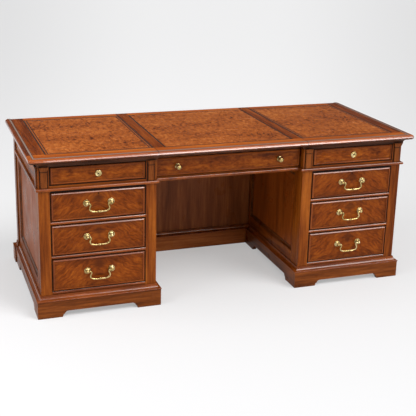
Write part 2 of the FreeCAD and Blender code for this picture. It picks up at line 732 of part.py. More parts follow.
def runner(wall, box_side, direction, y0, box_end, level):
    """Rebated runner: a ledge under the drawer side, a guide beside it and a stop behind it."""
    ledge = block(wall, box_side + direction * RUNNER_UNDER_BOX, y0, box_end + RUNNER_STOP,
                  level - RUNNER_BASE, level)
    guide = block(wall, box_side - direction * GUIDE_CLEARANCE, y0, box_end + RUNNER_STOP,
                  level, level + RUNNER_GUIDE)
    stop = block(wall, box_side + direction * RUNNER_UNDER_BOX, box_end + RUN_CLEARANCE,
                 box_end + RUNNER_STOP, level, level + RUNNER_GUIDE)
    return ledge.fuse(guide).fuse(stop).removeSplitter()


def make_runners():
    half = DRAWER_OPENING_WIDTH / 2 - GAP_SIDE
    box_end = Y_FACE - FRONT_PROUD + FRONT_THICK + BOX_LENGTH
    pieces = []
    for level in stack_levels() + [Z_FRIEZE]:
        seat = runner_seat(level)
        pieces.append(runner(-X_OUTER + FRAME_THICK, -X_PEDESTAL - half, 1, Y_FRAME_BACK, box_end, seat))
        pieces.append(runner(-X_INNER - FRAME_THICK, -X_PEDESTAL + half, -1, Y_FRAME_BACK, box_end, seat))
    save("drawer_runners", both_sides(pieces))
    centre_end = Y_CENTRE - FRONT_PROUD + FRONT_THICK + CENTRE_BOX_LENGTH
    seat = runner_seat(Z_CENTRE)
    piece = runner(-X_INNER, -X_INNER + CENTRE_GUIDE_WIDTH + GUIDE_CLEARANCE, 1, Y_CENTRE + FRAME_THICK,
                   centre_end, seat)
    save("centre_runners", both_sides([piece]))


# Drawers

def dovetails(x0, x1, low, high, root_y):
    """Tails that run forward from the end of a drawer side."""
    count = max(2, int((high - low) / TAIL_PITCH))
    pitch = (high - low) / count
    tails = []
    for index in range(count):
        middle = low + (index + 0.5) * pitch
        narrow = TAIL_ROOT / 2
        wide = narrow + TAIL_SPREAD
        ring = [Vector(x0, root_y, middle - narrow), Vector(x0, root_y - TAIL_LENGTH, middle - wide),
                Vector(x0, root_y - TAIL_LENGTH, middle + wide), Vector(x0, root_y, middle + narrow)]
        tails.append(Part.Face(Part.makePolygon(ring + ring[:1])).extrude(Vector(x1 - x0, 0, 0)))
    return tails


def rounded_front(front, x0, x1, z0, z1, face_y):
    """Takes the sharp edge off round the face of a drawer front."""
    radius = FRONT_EDGE_RADIUS
    beyond = radius + CUT_MARGIN
    steps = [((-CUT_MARGIN, 0),), ((-CUT_MARGIN, beyond),), ((radius, beyond),), ((radius, radius),)]
    for number in range(1, FRONT_EDGE_FLATS + 1):
        angle = math.radians(90 * number / FRONT_EDGE_FLATS)
        steps.append(((radius * (1 - math.sin(angle)), radius * math.cos(angle)),))
    waste = mitred_run((0, 0), steps, [(x0, z0), (x0, z1), (x1, z1), (x1, z0)], 0, closed=True)
    for piece in stood(waste, face_y + radius):
        front = front.cut(piece)
    return front


def drawer(middle, opening_width, level, opening_height, face_y, box_inset, box_length):
    """Front and dovetailed box of one drawer."""
    half = opening_width / 2 - GAP_SIDE
    low = level + GAP_BOTTOM
    high = level + opening_height - GAP_TOP
    front_y = face_y - FRONT_PROUD
    back_y = front_y + FRONT_THICK
    end_y = back_y + box_length
    front = block(middle - half, middle + half, front_y, back_y, low, high)
    front = rounded_front(front, middle - half, middle + half, low, high, front_y)
    box_half = half - box_inset
    wall_top = high - BOX_TOP_DROP
    floor = low + BOX_BOTTOM_RAISED
    bottom = block(middle - box_half + BOX_WALL - BOX_GROOVE, middle + box_half - BOX_WALL + BOX_GROOVE,
                   back_y - BOX_GROOVE, end_y, floor, floor + BOX_BOTTOM_THICK)
    walls = []
    for x0, x1 in ((middle - box_half, middle - box_half + BOX_WALL),
                   (middle + box_half - BOX_WALL, middle + box_half)):
        wall = block(x0, x1, back_y, end_y, low, wall_top)
        for tail in dovetails(x0, x1, low, wall_top, back_y):
            wall = wall.fuse(tail)
            front = front.cut(tail)
        walls.append(wall.removeSplitter().cut(bottom))
    back = block(middle - box_half + BOX_WALL, middle + box_half - BOX_WALL, end_y - BOX_WALL, end_y,
                 floor + BOX_BOTTOM_THICK, wall_top)
    return front.cut(bottom), walls + [back, bottom]


def pull_post(centre):
    """Domed rosette, neck and ball in one; the ball is bored for the pin of the bail."""
    rim = ROSETTE_RIM
    outline = [(ROSETTE_RADIUS, 0), (ROSETTE_RADIUS, rim), (ROSETTE_DOME_RADIUS, 2 * rim),
               (POST_NECK_RADIUS, ROSETTE_HEIGHT)]
    outline += ball_outline(POST_BALL_RADIUS, POST_NECK_RADIUS, POST_STAND_OFF)
    return turned(outline, POST_FLATS, centre)


def bail_reach():
    """Half the length of a bail between the shoulders of its pins."""
    return PULL_CENTRES / 2 - POST_BALL_RADIUS - BAIL_BALL_GAP


def bail_stations():
    """Half of a bail from its pin to its bead: place across, height and radius of the flats."""
    reach = bail_reach()
    drop = BAIL_DROP
    pin = inside_circle(BAIL_PIN_RADIUS, BAIL_FLATS)
    bends = [(-reach + BAIL_STUB, 0), (-0.87 * reach, -0.05 * drop), (-0.81 * reach, -0.19 * drop),
             (-0.845 * reach, -0.46 * drop), (-0.83 * reach, -0.68 * drop), (-0.69 * reach, -0.88 * drop),
             (-0.42 * reach, -0.975 * drop), (-BAIL_BEAD_LENGTH, -drop)]
    curve = Part.BSplineCurve()
    curve.interpolate(Points=[Vector(x, 0, z) for x, z in bends])
    stations = [(-reach - BAIL_PIN_LENGTH, 0, pin), (-reach, 0, pin), (-reach, 0, BAIL_WIRE_RADIUS)]
    for point in curve.discretize(Deflection=BAIL_FLATNESS):
        stations.append((point.x, point.z, BAIL_WIRE_RADIUS))
    stations.append((-BAIL_BEAD_LENGTH / 2, -drop, BAIL_WIRE_RADIUS))
    stations.append((-BAIL_BEAD_LENGTH / 5, -drop, BAIL_BEAD_RADIUS))
    return stations


def bail(middle):
    """Swan neck bail with a bead at the middle and a pin at each end; hangs from its pin line."""
    half = bail_stations()
    stations = half + [(-x, z, radius) for x, z, radius in reversed(half)]
    places = [middle + Vector(x, 0, z) for x, z, radius in stations]
    travel = []
    for here, ahead in zip(places, places[1:]):
        step = ahead - here
        travel.append(step.normalize() if step.Length > 0 else travel[-1])
    rings = []
    for index, place in enumerate(places):
        before = travel[max(index - 1, 0)]
        after = travel[min(index, len(travel) - 1)]
        along = (before + after).normalize()
        mitre = Vector(along.z, 0, -along.x) * (1 / along.dot(after))
        rings.append(flat_ring(place, mitre, Vector(0, 1, 0), stations[index][2], BAIL_FLATS))
    return skin(rings)


def pull_set(middle, level, face_y):
    """Bail and its two bored posts."""
    pivot = Vector(middle, face_y - POST_STAND_OFF, level)
    posts = []
    for side in (-1, 1):
        hole = []
        for along in (0, bail_reach() + BAIL_PIN_LENGTH + BAIL_PIN_END_GAP):
            hole.append(flat_ring(pivot + Vector(side * along, 0, 0), Vector(0, 0, 1), Vector(0, 1, 0),
                                  BAIL_PIN_RADIUS + BAIL_PIN_FIT, BAIL_FLATS))
        post = pull_post(Vector(middle + side * PULL_CENTRES / 2, face_y, level))
        posts.append(post.cut(skin(hole)))
    return bail(pivot), posts


def keyhole_cutter(middle, top, face_y):
    """Keyhole: a round eye with a slot below."""
    eye = Vector(middle, face_y, top - KEYHOLE_BELOW_TOP)
    round_part = turned([(KEYHOLE_RADIUS, -KEYHOLE_DEPTH), (KEYHOLE_RADIUS, CUT_MARGIN)], KEYHOLE_FLATS, eye)
    slot = block(middle - KEYHOLE_SLOT_WIDTH / 2, middle + KEYHOLE_SLOT_WIDTH / 2, face_y - CUT_MARGIN,
                 face_y + KEYHOLE_DEPTH, eye.z - KEYHOLE_DROP, eye.z)
    return round_part.fuse(slot)


def make_stack_drawers():
    for name, level, height in zip(STACK_NAMES, stack_levels(), STACK_OPENINGS):
        front, box = drawer(-X_PEDESTAL, DRAWER_OPENING_WIDTH, level, height, Y_FACE, 0, BOX_LENGTH)
        pull_level = level + height / 2 + PULL_ABOVE_MIDDLE
        face_y = Y_FACE - FRONT_PROUD
        swing, posts = pull_set(-X_PEDESTAL, pull_level, face_y)
        if name == STACK_NAMES[-1]:
            front = front.cut(keyhole_cutter(-X_PEDESTAL, level + height, face_y))
        save("front_left_" + name, [front])
        save("front_right_" + name, [mirrored(front)])
        save("box_left_" + name, box)
        save("box_right_" + name, [mirrored(piece) for piece in box])
        save("posts_left_" + name, posts)
        save("posts_right_" + name, [mirrored(piece) for piece in posts])
        save("bail_left_" + name, [swing])
        save("bail_right_" + name, [mirrored(swing)])


def lock_parts(centre):
    """Escutcheon with its barrel, and the turning plug with keyway and locking cam."""
    flange = LOCK_FLANGE_THICK
    cam_seat = FRONT_PROUD + FRAME_THICK + CAM_CLEARANCE
    barrel_end = CAM_CLEARANCE / 2 - cam_seat
    bore = LOCK_PLUG_RADIUS + LOCK_PLUG_FIT
    case = turned([(LOCK_BARREL_RADIUS, barrel_end), (LOCK_BARREL_RADIUS, 0), (LOCK_FLANGE_RADIUS, 0),
                   (LOCK_FLANGE_RADIUS, flange / 2), (LOCK_FACE_RADIUS, flange), (LOCK_DISH_RADIUS, flange),
                   (bore, flange / 2), (bore, barrel_end)], LOCK_FLATS, centre, closed=True)
    plug_front = flange / 2 - LOCK_PLUG_SUNK
    shaft = inside_circle(LOCK_PLUG_RADIUS, LOCK_FLATS)
    plug = turned([(shaft, -cam_seat), (shaft, plug_front)], LOCK_FLATS, centre)
    keyway = block(centre.x - LOCK_KEYWAY_WIDTH / 2, centre.x + LOCK_KEYWAY_WIDTH / 2,
                   centre.y - plug_front, centre.y - plug_front + LOCK_KEYWAY_DEPTH,
                   centre.z - LOCK_KEYWAY_HEIGHT / 2, centre.z + LOCK_KEYWAY_HEIGHT / 2)
    half = CAM_WIDTH / 2
    tip = CAM_LENGTH - half
    profile = [(-half, -half), (tip, -half), (CAM_LENGTH, 0), (tip, half), (-half, half)]
    ring = [Vector(centre.x + along, centre.y + cam_seat, centre.z + up) for along, up in profile]
    cam = flat_face(ring).extrude(Vector(0, CAM_THICK, 0))
    return case, plug.cut(keyway).fuse(cam)


def make_frieze_drawers():
    face_y = Y_FACE - FRONT_PROUD
    front, box = drawer(-X_PEDESTAL, DRAWER_OPENING_WIDTH, Z_FRIEZE, FRIEZE_OPENING, Y_FACE, 0, BOX_LENGTH)
    centre = Vector(-X_PEDESTAL, face_y, Z_FRIEZE + FRIEZE_OPENING / 2)
    barrel_hole = turned([(LOCK_BARREL_RADIUS, -FRONT_THICK), (LOCK_BARREL_RADIUS, 0)], LOCK_FLATS, centre)
    front = front.cut(barrel_hole)
    case, plug = lock_parts(centre)
    for name, turn in (("left", lambda shape: shape), ("right", mirrored)):
        save("front_" + name + "_frieze", [turn(front)])
        save("box_" + name + "_frieze", [turn(piece) for piece in box])
        save("lock_" + name, [turn(case)])
        save("lock_plug_" + name, [turn(plug)])


def knob(centre):
    """Ball knob on a small rose."""
    rose = KNOB_ROSE_THICK
    outline = [(KNOB_ROSE_RADIUS, 0), (KNOB_ROSE_RADIUS, rose / 2), (KNOB_NECK_RADIUS, rose)]
    outline += ball_outline(KNOB_BALL_RADIUS, KNOB_NECK_RADIUS, KNOB_STAND_OFF)
    return turned(outline, KNOB_FLATS, centre)


def make_centre_drawer():
    face_y = Y_CENTRE - FRONT_PROUD
    inset = CENTRE_GUIDE_WIDTH + GUIDE_CLEARANCE - GAP_SIDE
    front, box = drawer(0, KNEEHOLE_WIDTH, Z_CENTRE, CENTRE_OPENING, Y_CENTRE, inset, CENTRE_BOX_LENGTH)
    knobs = []
    for side in (-1, 1):
        centre = Vector(side * KNOB_CENTRES / 2, face_y, Z_CENTRE + CENTRE_OPENING / 2)
        knobs.append(knob(centre))
    save("front_centre", [front])
    save("box_centre", box)
    save("knobs_centre", knobs)


def main():
    os.makedirs("parts", exist_ok=True)
    make_top()
    make_cove()
    make_pedestals()
    make_waist()
    make_pilasters()
    make_plinths()
    make_back()
    make_modesty()
    make_centre_rails()
    make_runners()
    make_stack_drawers()
    make_frieze_drawers()
    make_centre_drawer()


main()
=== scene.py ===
import math
import bmesh
import bpy
from mathutils import Matrix, Vector


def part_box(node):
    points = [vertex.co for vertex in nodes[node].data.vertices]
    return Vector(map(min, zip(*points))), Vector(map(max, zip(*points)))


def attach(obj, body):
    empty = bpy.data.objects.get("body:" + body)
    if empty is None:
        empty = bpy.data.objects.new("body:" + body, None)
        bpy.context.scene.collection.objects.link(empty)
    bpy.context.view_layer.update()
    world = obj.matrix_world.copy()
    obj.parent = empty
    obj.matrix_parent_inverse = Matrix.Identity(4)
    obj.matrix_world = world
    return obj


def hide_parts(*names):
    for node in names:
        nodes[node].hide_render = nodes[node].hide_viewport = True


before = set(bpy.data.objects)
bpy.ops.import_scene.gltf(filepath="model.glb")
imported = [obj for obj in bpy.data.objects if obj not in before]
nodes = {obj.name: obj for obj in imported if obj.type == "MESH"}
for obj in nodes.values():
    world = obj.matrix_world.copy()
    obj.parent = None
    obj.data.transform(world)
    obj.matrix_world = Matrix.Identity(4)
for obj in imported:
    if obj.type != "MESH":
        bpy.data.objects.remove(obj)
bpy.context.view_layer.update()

# Looks of a mahogany pedestal desk; the front is towards -Y; sizes are metres unless a comment says more

SIDES = ("left", "right")
STACK = ("low", "mid", "high")
LEVELS = STACK + ("frieze",)
MM = 0.001
FRONTWARD = (0.0, -1.0, 0.0)
UPWARD = (0.0, 0.0, 1.0)

# Camera of the photograph; focus and lift are pixels of a square picture, the sensor is in millimetres
PICTURE_SIDE = 416
CAMERA_AZIMUTH = math.radians(-19.73)
CAMERA_ELEVATION = math.radians(16.61)
CAMERA_ROLL = math.radians(1.43)
CAMERA_DISTANCE = 4.457
CAMERA_TARGET = Vector((0.0125, 0.0, 0.484))
CAMERA_FOCUS = 879.0
CAMERA_LIFT = -30.0
SENSOR_WIDTH = 36.0
CAMERA_AHEAD = Vector((-math.sin(CAMERA_AZIMUTH), math.cos(CAMERA_AZIMUTH), 0.0))
CAMERA_LEVEL = Vector((math.cos(CAMERA_AZIMUTH), math.sin(CAMERA_AZIMUTH), 0.0))
CAMERA_BACK = Vector((0.0, 0.0, math.sin(CAMERA_ELEVATION))) - CAMERA_AHEAD * math.cos(CAMERA_ELEVATION)
CAMERA_PLACE = CAMERA_TARGET + CAMERA_BACK * CAMERA_DISTANCE

# Places taken from the solids
TOP_LOW, TOP_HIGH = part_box("top_left")
TOP_END = -TOP_LOW.x
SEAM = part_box("top_centre")[1].x
FIELD_LOW, FIELD_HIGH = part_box("top_fields")
FRAME_LOW, FRAME_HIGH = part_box("face_frame_left")
FACE = FRAME_LOW.y
OUTER_WALL = -FRAME_LOW.x
INNER_WALL = -FRAME_HIGH.x
PEDESTAL_MIDDLE = (OUTER_WALL + INNER_WALL) / 2
PEDESTAL_HALF = (OUTER_WALL - INNER_WALL) / 2
SIDE_LOW, SIDE_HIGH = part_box("side_frames_outer")
SIDE_MIDDLE = (SIDE_LOW.y + SIDE_HIGH.y) / 2
SIDE_HALF = (SIDE_HIGH.y - SIDE_LOW.y) / 2
BACK_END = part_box("back_frame")[1].x
WAIST_LOW, WAIST_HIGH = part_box("waist_moulding")
RAIL_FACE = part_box("centre_rails")[0].y

# Widths of frame members and of bands on the top
STILE = 52 * MM
SIDE_STILE = 62 * MM
BACK_POST = 60 * MM
BACK_STILE = 84 * MM
SEAM_BORDER = 7 * MM
DIVIDER_BAND = 53 * MM

# Veneer fields of the top: from and to along the desk, from and to in depth
LEFT_FIELD = (FIELD_LOW.x, -SEAM - SEAM_BORDER, FIELD_LOW.y, FIELD_HIGH.y)
CENTRE_FIELD = (-SEAM + DIVIDER_BAND, SEAM - DIVIDER_BAND, FIELD_LOW.y, FIELD_HIGH.y)
RIGHT_FIELD = (SEAM + SEAM_BORDER, FIELD_HIGH.x, FIELD_LOW.y, FIELD_HIGH.y)
ALL_FIELDS = (FIELD_LOW.x, FIELD_HIGH.x, FIELD_LOW.y, FIELD_HIGH.y)

# Lines on the top: half widths, and distances in from the edge
LINE_SOFTNESS = 0.6 * MM
SEAM_HALF = 0.9 * MM
FIELD_LINE_HALF = 4.0 * MM
END_FIELD_LINE_HALF = 3.0 * MM
INNER_LINE_HALF = 2.4 * MM
INNER_LINE = 11 * MM
# The line inside the nose is a painted reflection on a groove, with painted shadow LINE_SHADOW wide along
# each side
FRONT_LINE = 18 * MM
FRONT_LINE_HALF = 6.0 * MM
END_LINE = 23 * MM
END_LINE_HALF = 3.4 * MM
LINE_SHADOW = 2.4 * MM

# Heights on the nose over its lower edge: where the painted shade of its underside begins and ends, and its
# bright flat
NOSE_UNDERSIDE_SHADE = (9.6 * MM, 7.4 * MM)
NOSE_FLAT = 12 * MM
NOSE_FLAT_HALF = 3 * MM

# Dark rims and lines on the front: the tone towards the edges of the drawer fronts, and painted shade and
# painted shadow at the gaps round the drawers, under the waist moulding, round the pilasters and in the
# keyholes; a pair gives where the tone begins and where it is full
EDGE_SHADING = (-45 * MM, -8 * MM)
FRONT_RIM_SHADE = (-3.0 * MM, -2.4 * MM)
FRAME_RIM_SHADE = (4.4 * MM, 3.2 * MM)
WAIST_SHADE_HALF = 9 * MM
PILASTER_EDGE = 16.5 * MM
PILASTER_SHADOW_HALF = 2.0 * MM
PILASTER_CAP = 22 * MM
PILASTER_FOOT_SHADE_HALF = 3.0 * MM
KEYHOLE_SHADE_RIM = (4.2 * MM, 3.7 * MM)

# Figure of the veneers
FLAME_BEND = 30 * MM
FLAME_SLOPE = 0.62
FLAME_WANDER = 60 * MM
FLAME_DROP = 40 * MM
FLAME_SPREAD = 0.7
FLAME_RAGGED = 30 * MM
FLAME_EDGE = (52 * MM, 26 * MM)
RIPPLE_HEIGHT = 30 * MM
BURL_WAVE = 50 * MM

# Polish
# Reach of the open-air test that paints shade into recesses and keeps wear off them
RECESS_SHADE_REACH = 14 * MM
PATINA_REACH = 12 * MM
COAT_ROUGHNESS = 0.07
WOOD_RELIEF = 1.0 * MM
BRASS_RELIEF = 0.4 * MM
SEED_SHIFTS = (1.7, 2.3, 0.9)


def srgb(red, green, blue):
    """Colour written as it is seen, from 0 to 255 a channel, as linear light."""
    channels = []
    for value in (red, green, blue):
        share = value / 255
        channels.append(share / 12.92 if share <= 0.04045 else ((share + 0.055) / 1.055) ** 2.4)
    return (*channels, 1.0)


# Dark, middle and light tone of each wood
MAHOGANY = (srgb(76, 30, 3), srgb(113, 54, 10), srgb(140, 75, 20))
DARK_MAHOGANY = (srgb(62, 27, 6), srgb(98, 48, 14), srgb(126, 67, 25))
# Darker tones that paint the shade of the recessed panel mouldings
RECESS_SHADE_TONES = (srgb(48, 21, 6), srgb(76, 37, 12), srgb(104, 56, 24))
BEAD_TONES = (srgb(82, 34, 7), srgb(114, 53, 14), srgb(142, 73, 26))
FRONT_TONES = (srgb(68, 25, 1), srgb(110, 49, 6), srgb(140, 71, 13))
RIPPLE_TONES = (srgb(68, 25, 1), srgb(118, 54, 7), srgb(152, 80, 16))
PANEL_TONES = (srgb(98, 45, 10), srgb(122, 58, 15), srgb(142, 73, 23))
KNEEHOLE_TONES = (srgb(84, 43, 18), srgb(107, 56, 26), srgb(128, 72, 36))
KNEEHOLE_PLINTH_TONES = (srgb(112, 57, 22), srgb(138, 74, 32), srgb(162, 95, 48))
SHADED_TONES = (srgb(38, 20, 11), srgb(58, 32, 19), srgb(80, 47, 30))
BORDER_TONES = (srgb(128, 56, 10), srgb(158, 76, 16), srgb(182, 98, 30))
NOSE_TONES = (srgb(112, 48, 9), srgb(138, 64, 14), srgb(160, 82, 24))
BAND_TONES = (srgb(78, 30, 4), srgb(114, 50, 9), srgb(142, 70, 18))
PALE_TONES = (srgb(140, 96, 54), srgb(184, 140, 90), srgb(208, 170, 120))

# Other tones; burl and brass with the place of each tone in their noise
EDGE_WEAR = srgb(186, 100, 48)
# Painted shade for gaps and recesses, also the dark of the seam joints of the top
SHADE_AND_JOINT_DARK = srgb(20, 9, 4)
FLAME_DARK = srgb(52, 19, 3)
FRONT_SHADE = srgb(48, 18, 4)
# Dark of the stringing round the fields, also the painted shadow beside the groove inside the nose
STRING_AND_SHADOW_DARK = srgb(52, 32, 24)
# Painted reflection on the groove inside the nose
GROOVE_REFLECTION = srgb(140, 118, 106)
BURL_STOPS = ((0.38, srgb(80, 32, 6)), (0.47, srgb(138, 68, 21)),
              (0.55, srgb(160, 84, 30)), (0.65, srgb(188, 112, 51)))
BURL_FLECK = srgb(66, 28, 10)
BURL_STRIP = srgb(150, 76, 28)
BRASS_STOPS = ((0.3, srgb(152, 126, 74)), (0.5, srgb(194, 170, 112)), (0.7, srgb(230, 212, 160)))
PATINA = srgb(40, 28, 10)
# Painted shade inside the keyholes
KEYHOLE_SHADE = srgb(10, 8, 5)
FLOOR_LIT = srgb(244, 244, 245)
FLOOR_SEEN = srgb(167, 167, 168)
WHITE = srgb(255, 255, 255)


def middle_of(node):
    """Middle of a node's box at rest."""
    low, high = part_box(node)
    return (low + high) / 2


def set_stops(colour_ramp, stops):
    """Places and colours of a colour ramp."""
    elements = colour_ramp.elements
    while len(elements) < len(stops):
        elements.new(0.5)
    for element, (place, colour) in zip(elements, stops):
        element.position = place
        element.color = colour


# Materials

class Graph:
    """Node tree of one material, with short calls for the nodes that the finishes use."""

    def __init__(self, name):
        self.material = bpy.data.materials.new(name)
        self.material.use_nodes = True
        self.tree = self.material.node_tree
        self.tree.nodes.clear()
        place = self.node("TexCoord").outputs["Object"]
        self.x, self.y, self.z = self.node("SeparateXYZ", {0: place}).outputs
        self.facing = self.node("NewGeometry").outputs["Normal"]

    def node(self, kind, inputs=None, **fields):
        """New node; its inputs, by name or number, take a value or another node's output."""
        made = self.tree.nodes.new("ShaderNode" + kind)
        for field, value in fields.items():
            setattr(made, field, value)
        for key, value in (inputs or {}).items():
            if isinstance(value, bpy.types.NodeSocket):
                self.tree.links.new(value, made.inputs[key])
            else:
                made.inputs[key].default_value = value
        return made

    def math(self, operation, *values):
        return self.node("Math", dict(enumerate(values)), operation=operation).outputs[0]

    def chain(self, operation, values):
        """One operation over several values, two at a time."""
        result = values[0]
        for value in values[1:]:
            result = self.math(operation, result, value)
        return result

    def times(self, *values):
        return self.chain("MULTIPLY", values)

    def most(self, *values):
        return self.chain("MAXIMUM", values)

    def least(self, *values):
        return self.chain("MINIMUM", values)

    def plus(self, base, value, scale=1.0):
        """The base plus the value times the scale."""
        return self.math("MULTIPLY_ADD", value, scale, base)

    def minus(self, first, second):
        return self.math("SUBTRACT", first, second)

    def unsigned(self, value):
        return self.math("ABSOLUTE", value)

    def away(self, value, middle):
        """How far the value lies from the middle, to either side."""
        return self.unsigned(self.minus(value, middle))

    def above(self, value, limit):
        return self.math("GREATER_THAN", value, limit)

    def below(self, value, limit):
        return self.math("LESS_THAN", value, limit)

    def hypotenuse(self, first, second):
        squares = self.plus(self.math("POWER", first, 2.0), self.math("POWER", second, 2.0))
        return self.math("SQRT", squares)

    def vector(self, x, y, z):
        return self.node("CombineXYZ", {0: x, 1: y, 2: z}).outputs[0]

    def dot(self, first, second):
        return self.node("VectorMath", {0: first, 1: second}, operation="DOT_PRODUCT").outputs["Value"]

    def mix(self, factor, first, second):
        """First colour where the factor is 0, second where it is 1."""
        return self.node("Mix", {0: factor, 6: first, 7: second}, data_type="RGBA").outputs[2]

    def choose(self, factor, first, second):
        """First number where the factor is 0, second where it is 1."""
        return self.node("Mix", {0: factor, 2: first, 3: second}, data_type="FLOAT").outputs[0]

    def ramp(self, value, stops):
        made = self.node("ValToRGB", {0: value})
        set_stops(made.color_ramp, stops)
        return made.outputs["Color"]

    def rise(self, value, start, end):
        """0 below start and 1 above end, smooth between; a start above end turns it round."""
        made = self.node("MapRange", {"Value": value, "From Min": start, "From Max": end},
                         interpolation_type="SMOOTHSTEP")
        return made.outputs["Result"]

    def spread(self, value, start, end, low, high):
        """From low to high as the value goes from start to end."""
        made = self.node("MapRange", {"Value": value, "From Min": start, "From Max": end,
                                      "To Min": low, "To Max": high})
        return made.outputs["Result"]

    def line(self, value, middle, half):
        """1 on a line of the given half width round the middle."""
        return self.rise(self.away(value, middle), half + LINE_SOFTNESS, half)

    def outside(self, *spans):
        """How far a point lies outside spans of place, start and end; negative inside them all."""
        reaches = [self.minus(self.away(place, (start + end) / 2), (end - start) / 2)
                   for place, start, end in spans]
        return self.most(*reaches)

    def axes(self, along):
        """Places along and across a grain that runs along the named axis."""
        return {"X": (self.x, self.y, self.z),
                "Y": (self.y, self.x, self.z),
                "Z": (self.z, self.x, self.y)}[along]

    def switched(self, mask, first, second):
        """Axes of the first grain where the mask is 0 and of the second where it is 1."""
        return tuple(self.choose(mask, a, b) for a, b in zip(self.axes(first), self.axes(second)))

    def noise(self, axes, along, across, seed, detail=2.0, roughness=0.5, distortion=0.0):
        """Noise with its own scales along and across the grain, in turns a metre."""
        place = [self.math("MULTIPLY_ADD", axis, scale, seed * shift)
                 for axis, scale, shift in zip(axes, (along, across, across), SEED_SHIFTS)]
        made = self.node("TexNoise", {"Vector": self.vector(*place), "Scale": 1.0, "Detail": detail,
                                      "Roughness": roughness, "Distortion": distortion})
        return made.outputs["Fac"]

    def faces(self, direction, start=0.5, end=0.8):
        """1 where the surface looks along the direction."""
        return self.rise(self.dot(self.facing, direction), start, end)

    def open_air(self, reach):
        """1 in the open and less in gaps and recesses, judged over the given reach."""
        return self.node("AmbientOcclusion", {"Distance": reach}, samples=4).outputs["AO"]

    def relief(self, height, strength, depth, normal):
        """Normal of a surface with fine bumps."""
        made = self.node("Bump", {"Strength": strength, "Distance": depth,
                                  "Height": height, "Normal": normal})
        return made.outputs["Normal"]

    def finished(self, inputs):
        """Material of one shader with the given inputs."""
        shader = self.node("BsdfPrincipled", inputs)
        self.node("OutputMaterial", {"Surface": shader.outputs[0]})
        return self.material


def grain_layers(graph, axes, seed):
    """Broad bands, streaks and pores of one board."""
    bands = graph.noise(axes, 2.2, 24.0, seed)
    streaks = graph.noise(axes, 7.0, 120.0, seed + 1, detail=4.0, roughness=0.6)
    pores = graph.noise(axes, 28.0, 800.0, seed + 2)
    return bands, streaks, pores


def figured_layers(graph, axes, seed):
    """Clouds, short mottles and pores of a figured veneer."""
    streaks, pores = grain_layers(graph, axes, seed)[1:]
    clouds = graph.noise(axes, 9.0, 15.0, seed + 4, distortion=0.6)
    mottle = graph.noise(axes, 38.0, 95.0, seed + 5, detail=4.0, roughness=0.64)
    return graph.choose(0.45, clouds, mottle), graph.choose(0.55, streaks, mottle), pores


def grain_colour(graph, layers, tones):
    """Colour of a board from its layers of grain and its three tones."""
    bands, streaks, pores = layers
    dark, middle, light = tones
    value = graph.choose(0.45, bands, streaks)
    colour = graph.ramp(value, ((0.36, dark), (0.50, middle), (0.64, light)))
    return graph.mix(graph.times(graph.rise(pores, 0.56, 0.68), 0.55), colour, dark)


def wear_and_shade(graph, colour, rounded, wear, shade_and_joints, glaze):
    """Colour with worn edges, painted shade in gaps and recesses, and dark seam joints."""
    edge = graph.rise(graph.dot(rounded, graph.facing), 0.985, 0.86)
    clear = graph.open_air(RECESS_SHADE_REACH)
    patchy = graph.noise(graph.axes("X"), 45.0, 45.0, 7.0, detail=3.0)
    worn = graph.times(edge, graph.rise(clear, 0.35, 0.8), graph.rise(patchy, 0.25, 0.65), wear)
    # Painted shade where the surroundings close in
    recess = graph.times(graph.rise(clear, 0.70, 0.16), glaze)
    return graph.mix(graph.most(recess, shade_and_joints), graph.mix(worn, colour, EDGE_WEAR), SHADE_AND_JOINT_DARK)


def polished(graph, colour, height, specular=0.08, smooth=0.24, rough=0.40, wear=0.5, edge_radius=1.6 * MM,
             bump=0.12, coat=0.0, upper_coat=0.0, shade_and_joints=0.0, glaze=0.92):
    """Satin polish over wood: worn colour with painted shade in gaps and recesses, uneven gloss, fine bumps,
    and more lacquer where it looks up.
    """
    rounded = graph.node("Bevel", {"Radius": edge_radius}, samples=3).outputs["Normal"]
    uneven = graph.noise(graph.axes("X"), 9.0, 9.0, 3.0, detail=4.0)
    if upper_coat:
        coat = graph.plus(coat, graph.faces(UPWARD, 0.25, 0.5), upper_coat)
    return graph.finished({"Base Color": wear_and_shade(graph, colour, rounded, wear, shade_and_joints, glaze),
                           "Roughness": graph.spread(uneven, 0.3, 0.7, smooth, rough),
                           "Specular IOR Level": specular,
                           "Coat Weight": coat,
                           "Coat Roughness": COAT_ROUGHNESS,
                           "Normal": graph.relief(height, bump, WOOD_RELIEF, rounded)})


def board_wood(name, seed, axes_of, tones=MAHOGANY, **polish):
    """Plain board whose grain follows the axes that axes_of gives."""
    graph = Graph(name)
    layers = grain_layers(graph, axes_of(graph), seed)
    return polished(graph, grain_colour(graph, layers, tones), layers[-1], **polish)


def bright_wood(name, seed, axes_of, **polish):
    """Wood of beads and mouldings, lacquered bright where it looks up."""
    # Beads and mouldings get less painted shade in their recesses
    return board_wood(name, seed, axes_of, tones=BEAD_TONES, coat=0.15, upper_coat=0.85, glaze=0.6, **polish)


def pale_wood(name, seed, axes_of):
    """Bare planed wood of drawer boxes and runners."""
    return board_wood(name, seed, axes_of, tones=PALE_TONES, specular=0.2, smooth=0.5, rough=0.7, wear=0.2)


def along(axis):
    """Grain along one axis all over."""
    return lambda graph: graph.axes(axis)


def upright_stiles(graph):
    """Face frames: stiles upright, rails across."""
    from_middle = graph.away(graph.unsigned(graph.x), PEDESTAL_MIDDLE)
    return graph.switched(graph.above(from_middle, PEDESTAL_HALF - STILE), "X", "Z")


def side_stiles(graph):
    """Pedestal sides: stiles upright, rails along the depth."""
    from_middle = graph.away(graph.y, SIDE_MIDDLE)
    return graph.switched(graph.above(from_middle, SIDE_HALF - SIDE_STILE), "Y", "Z")


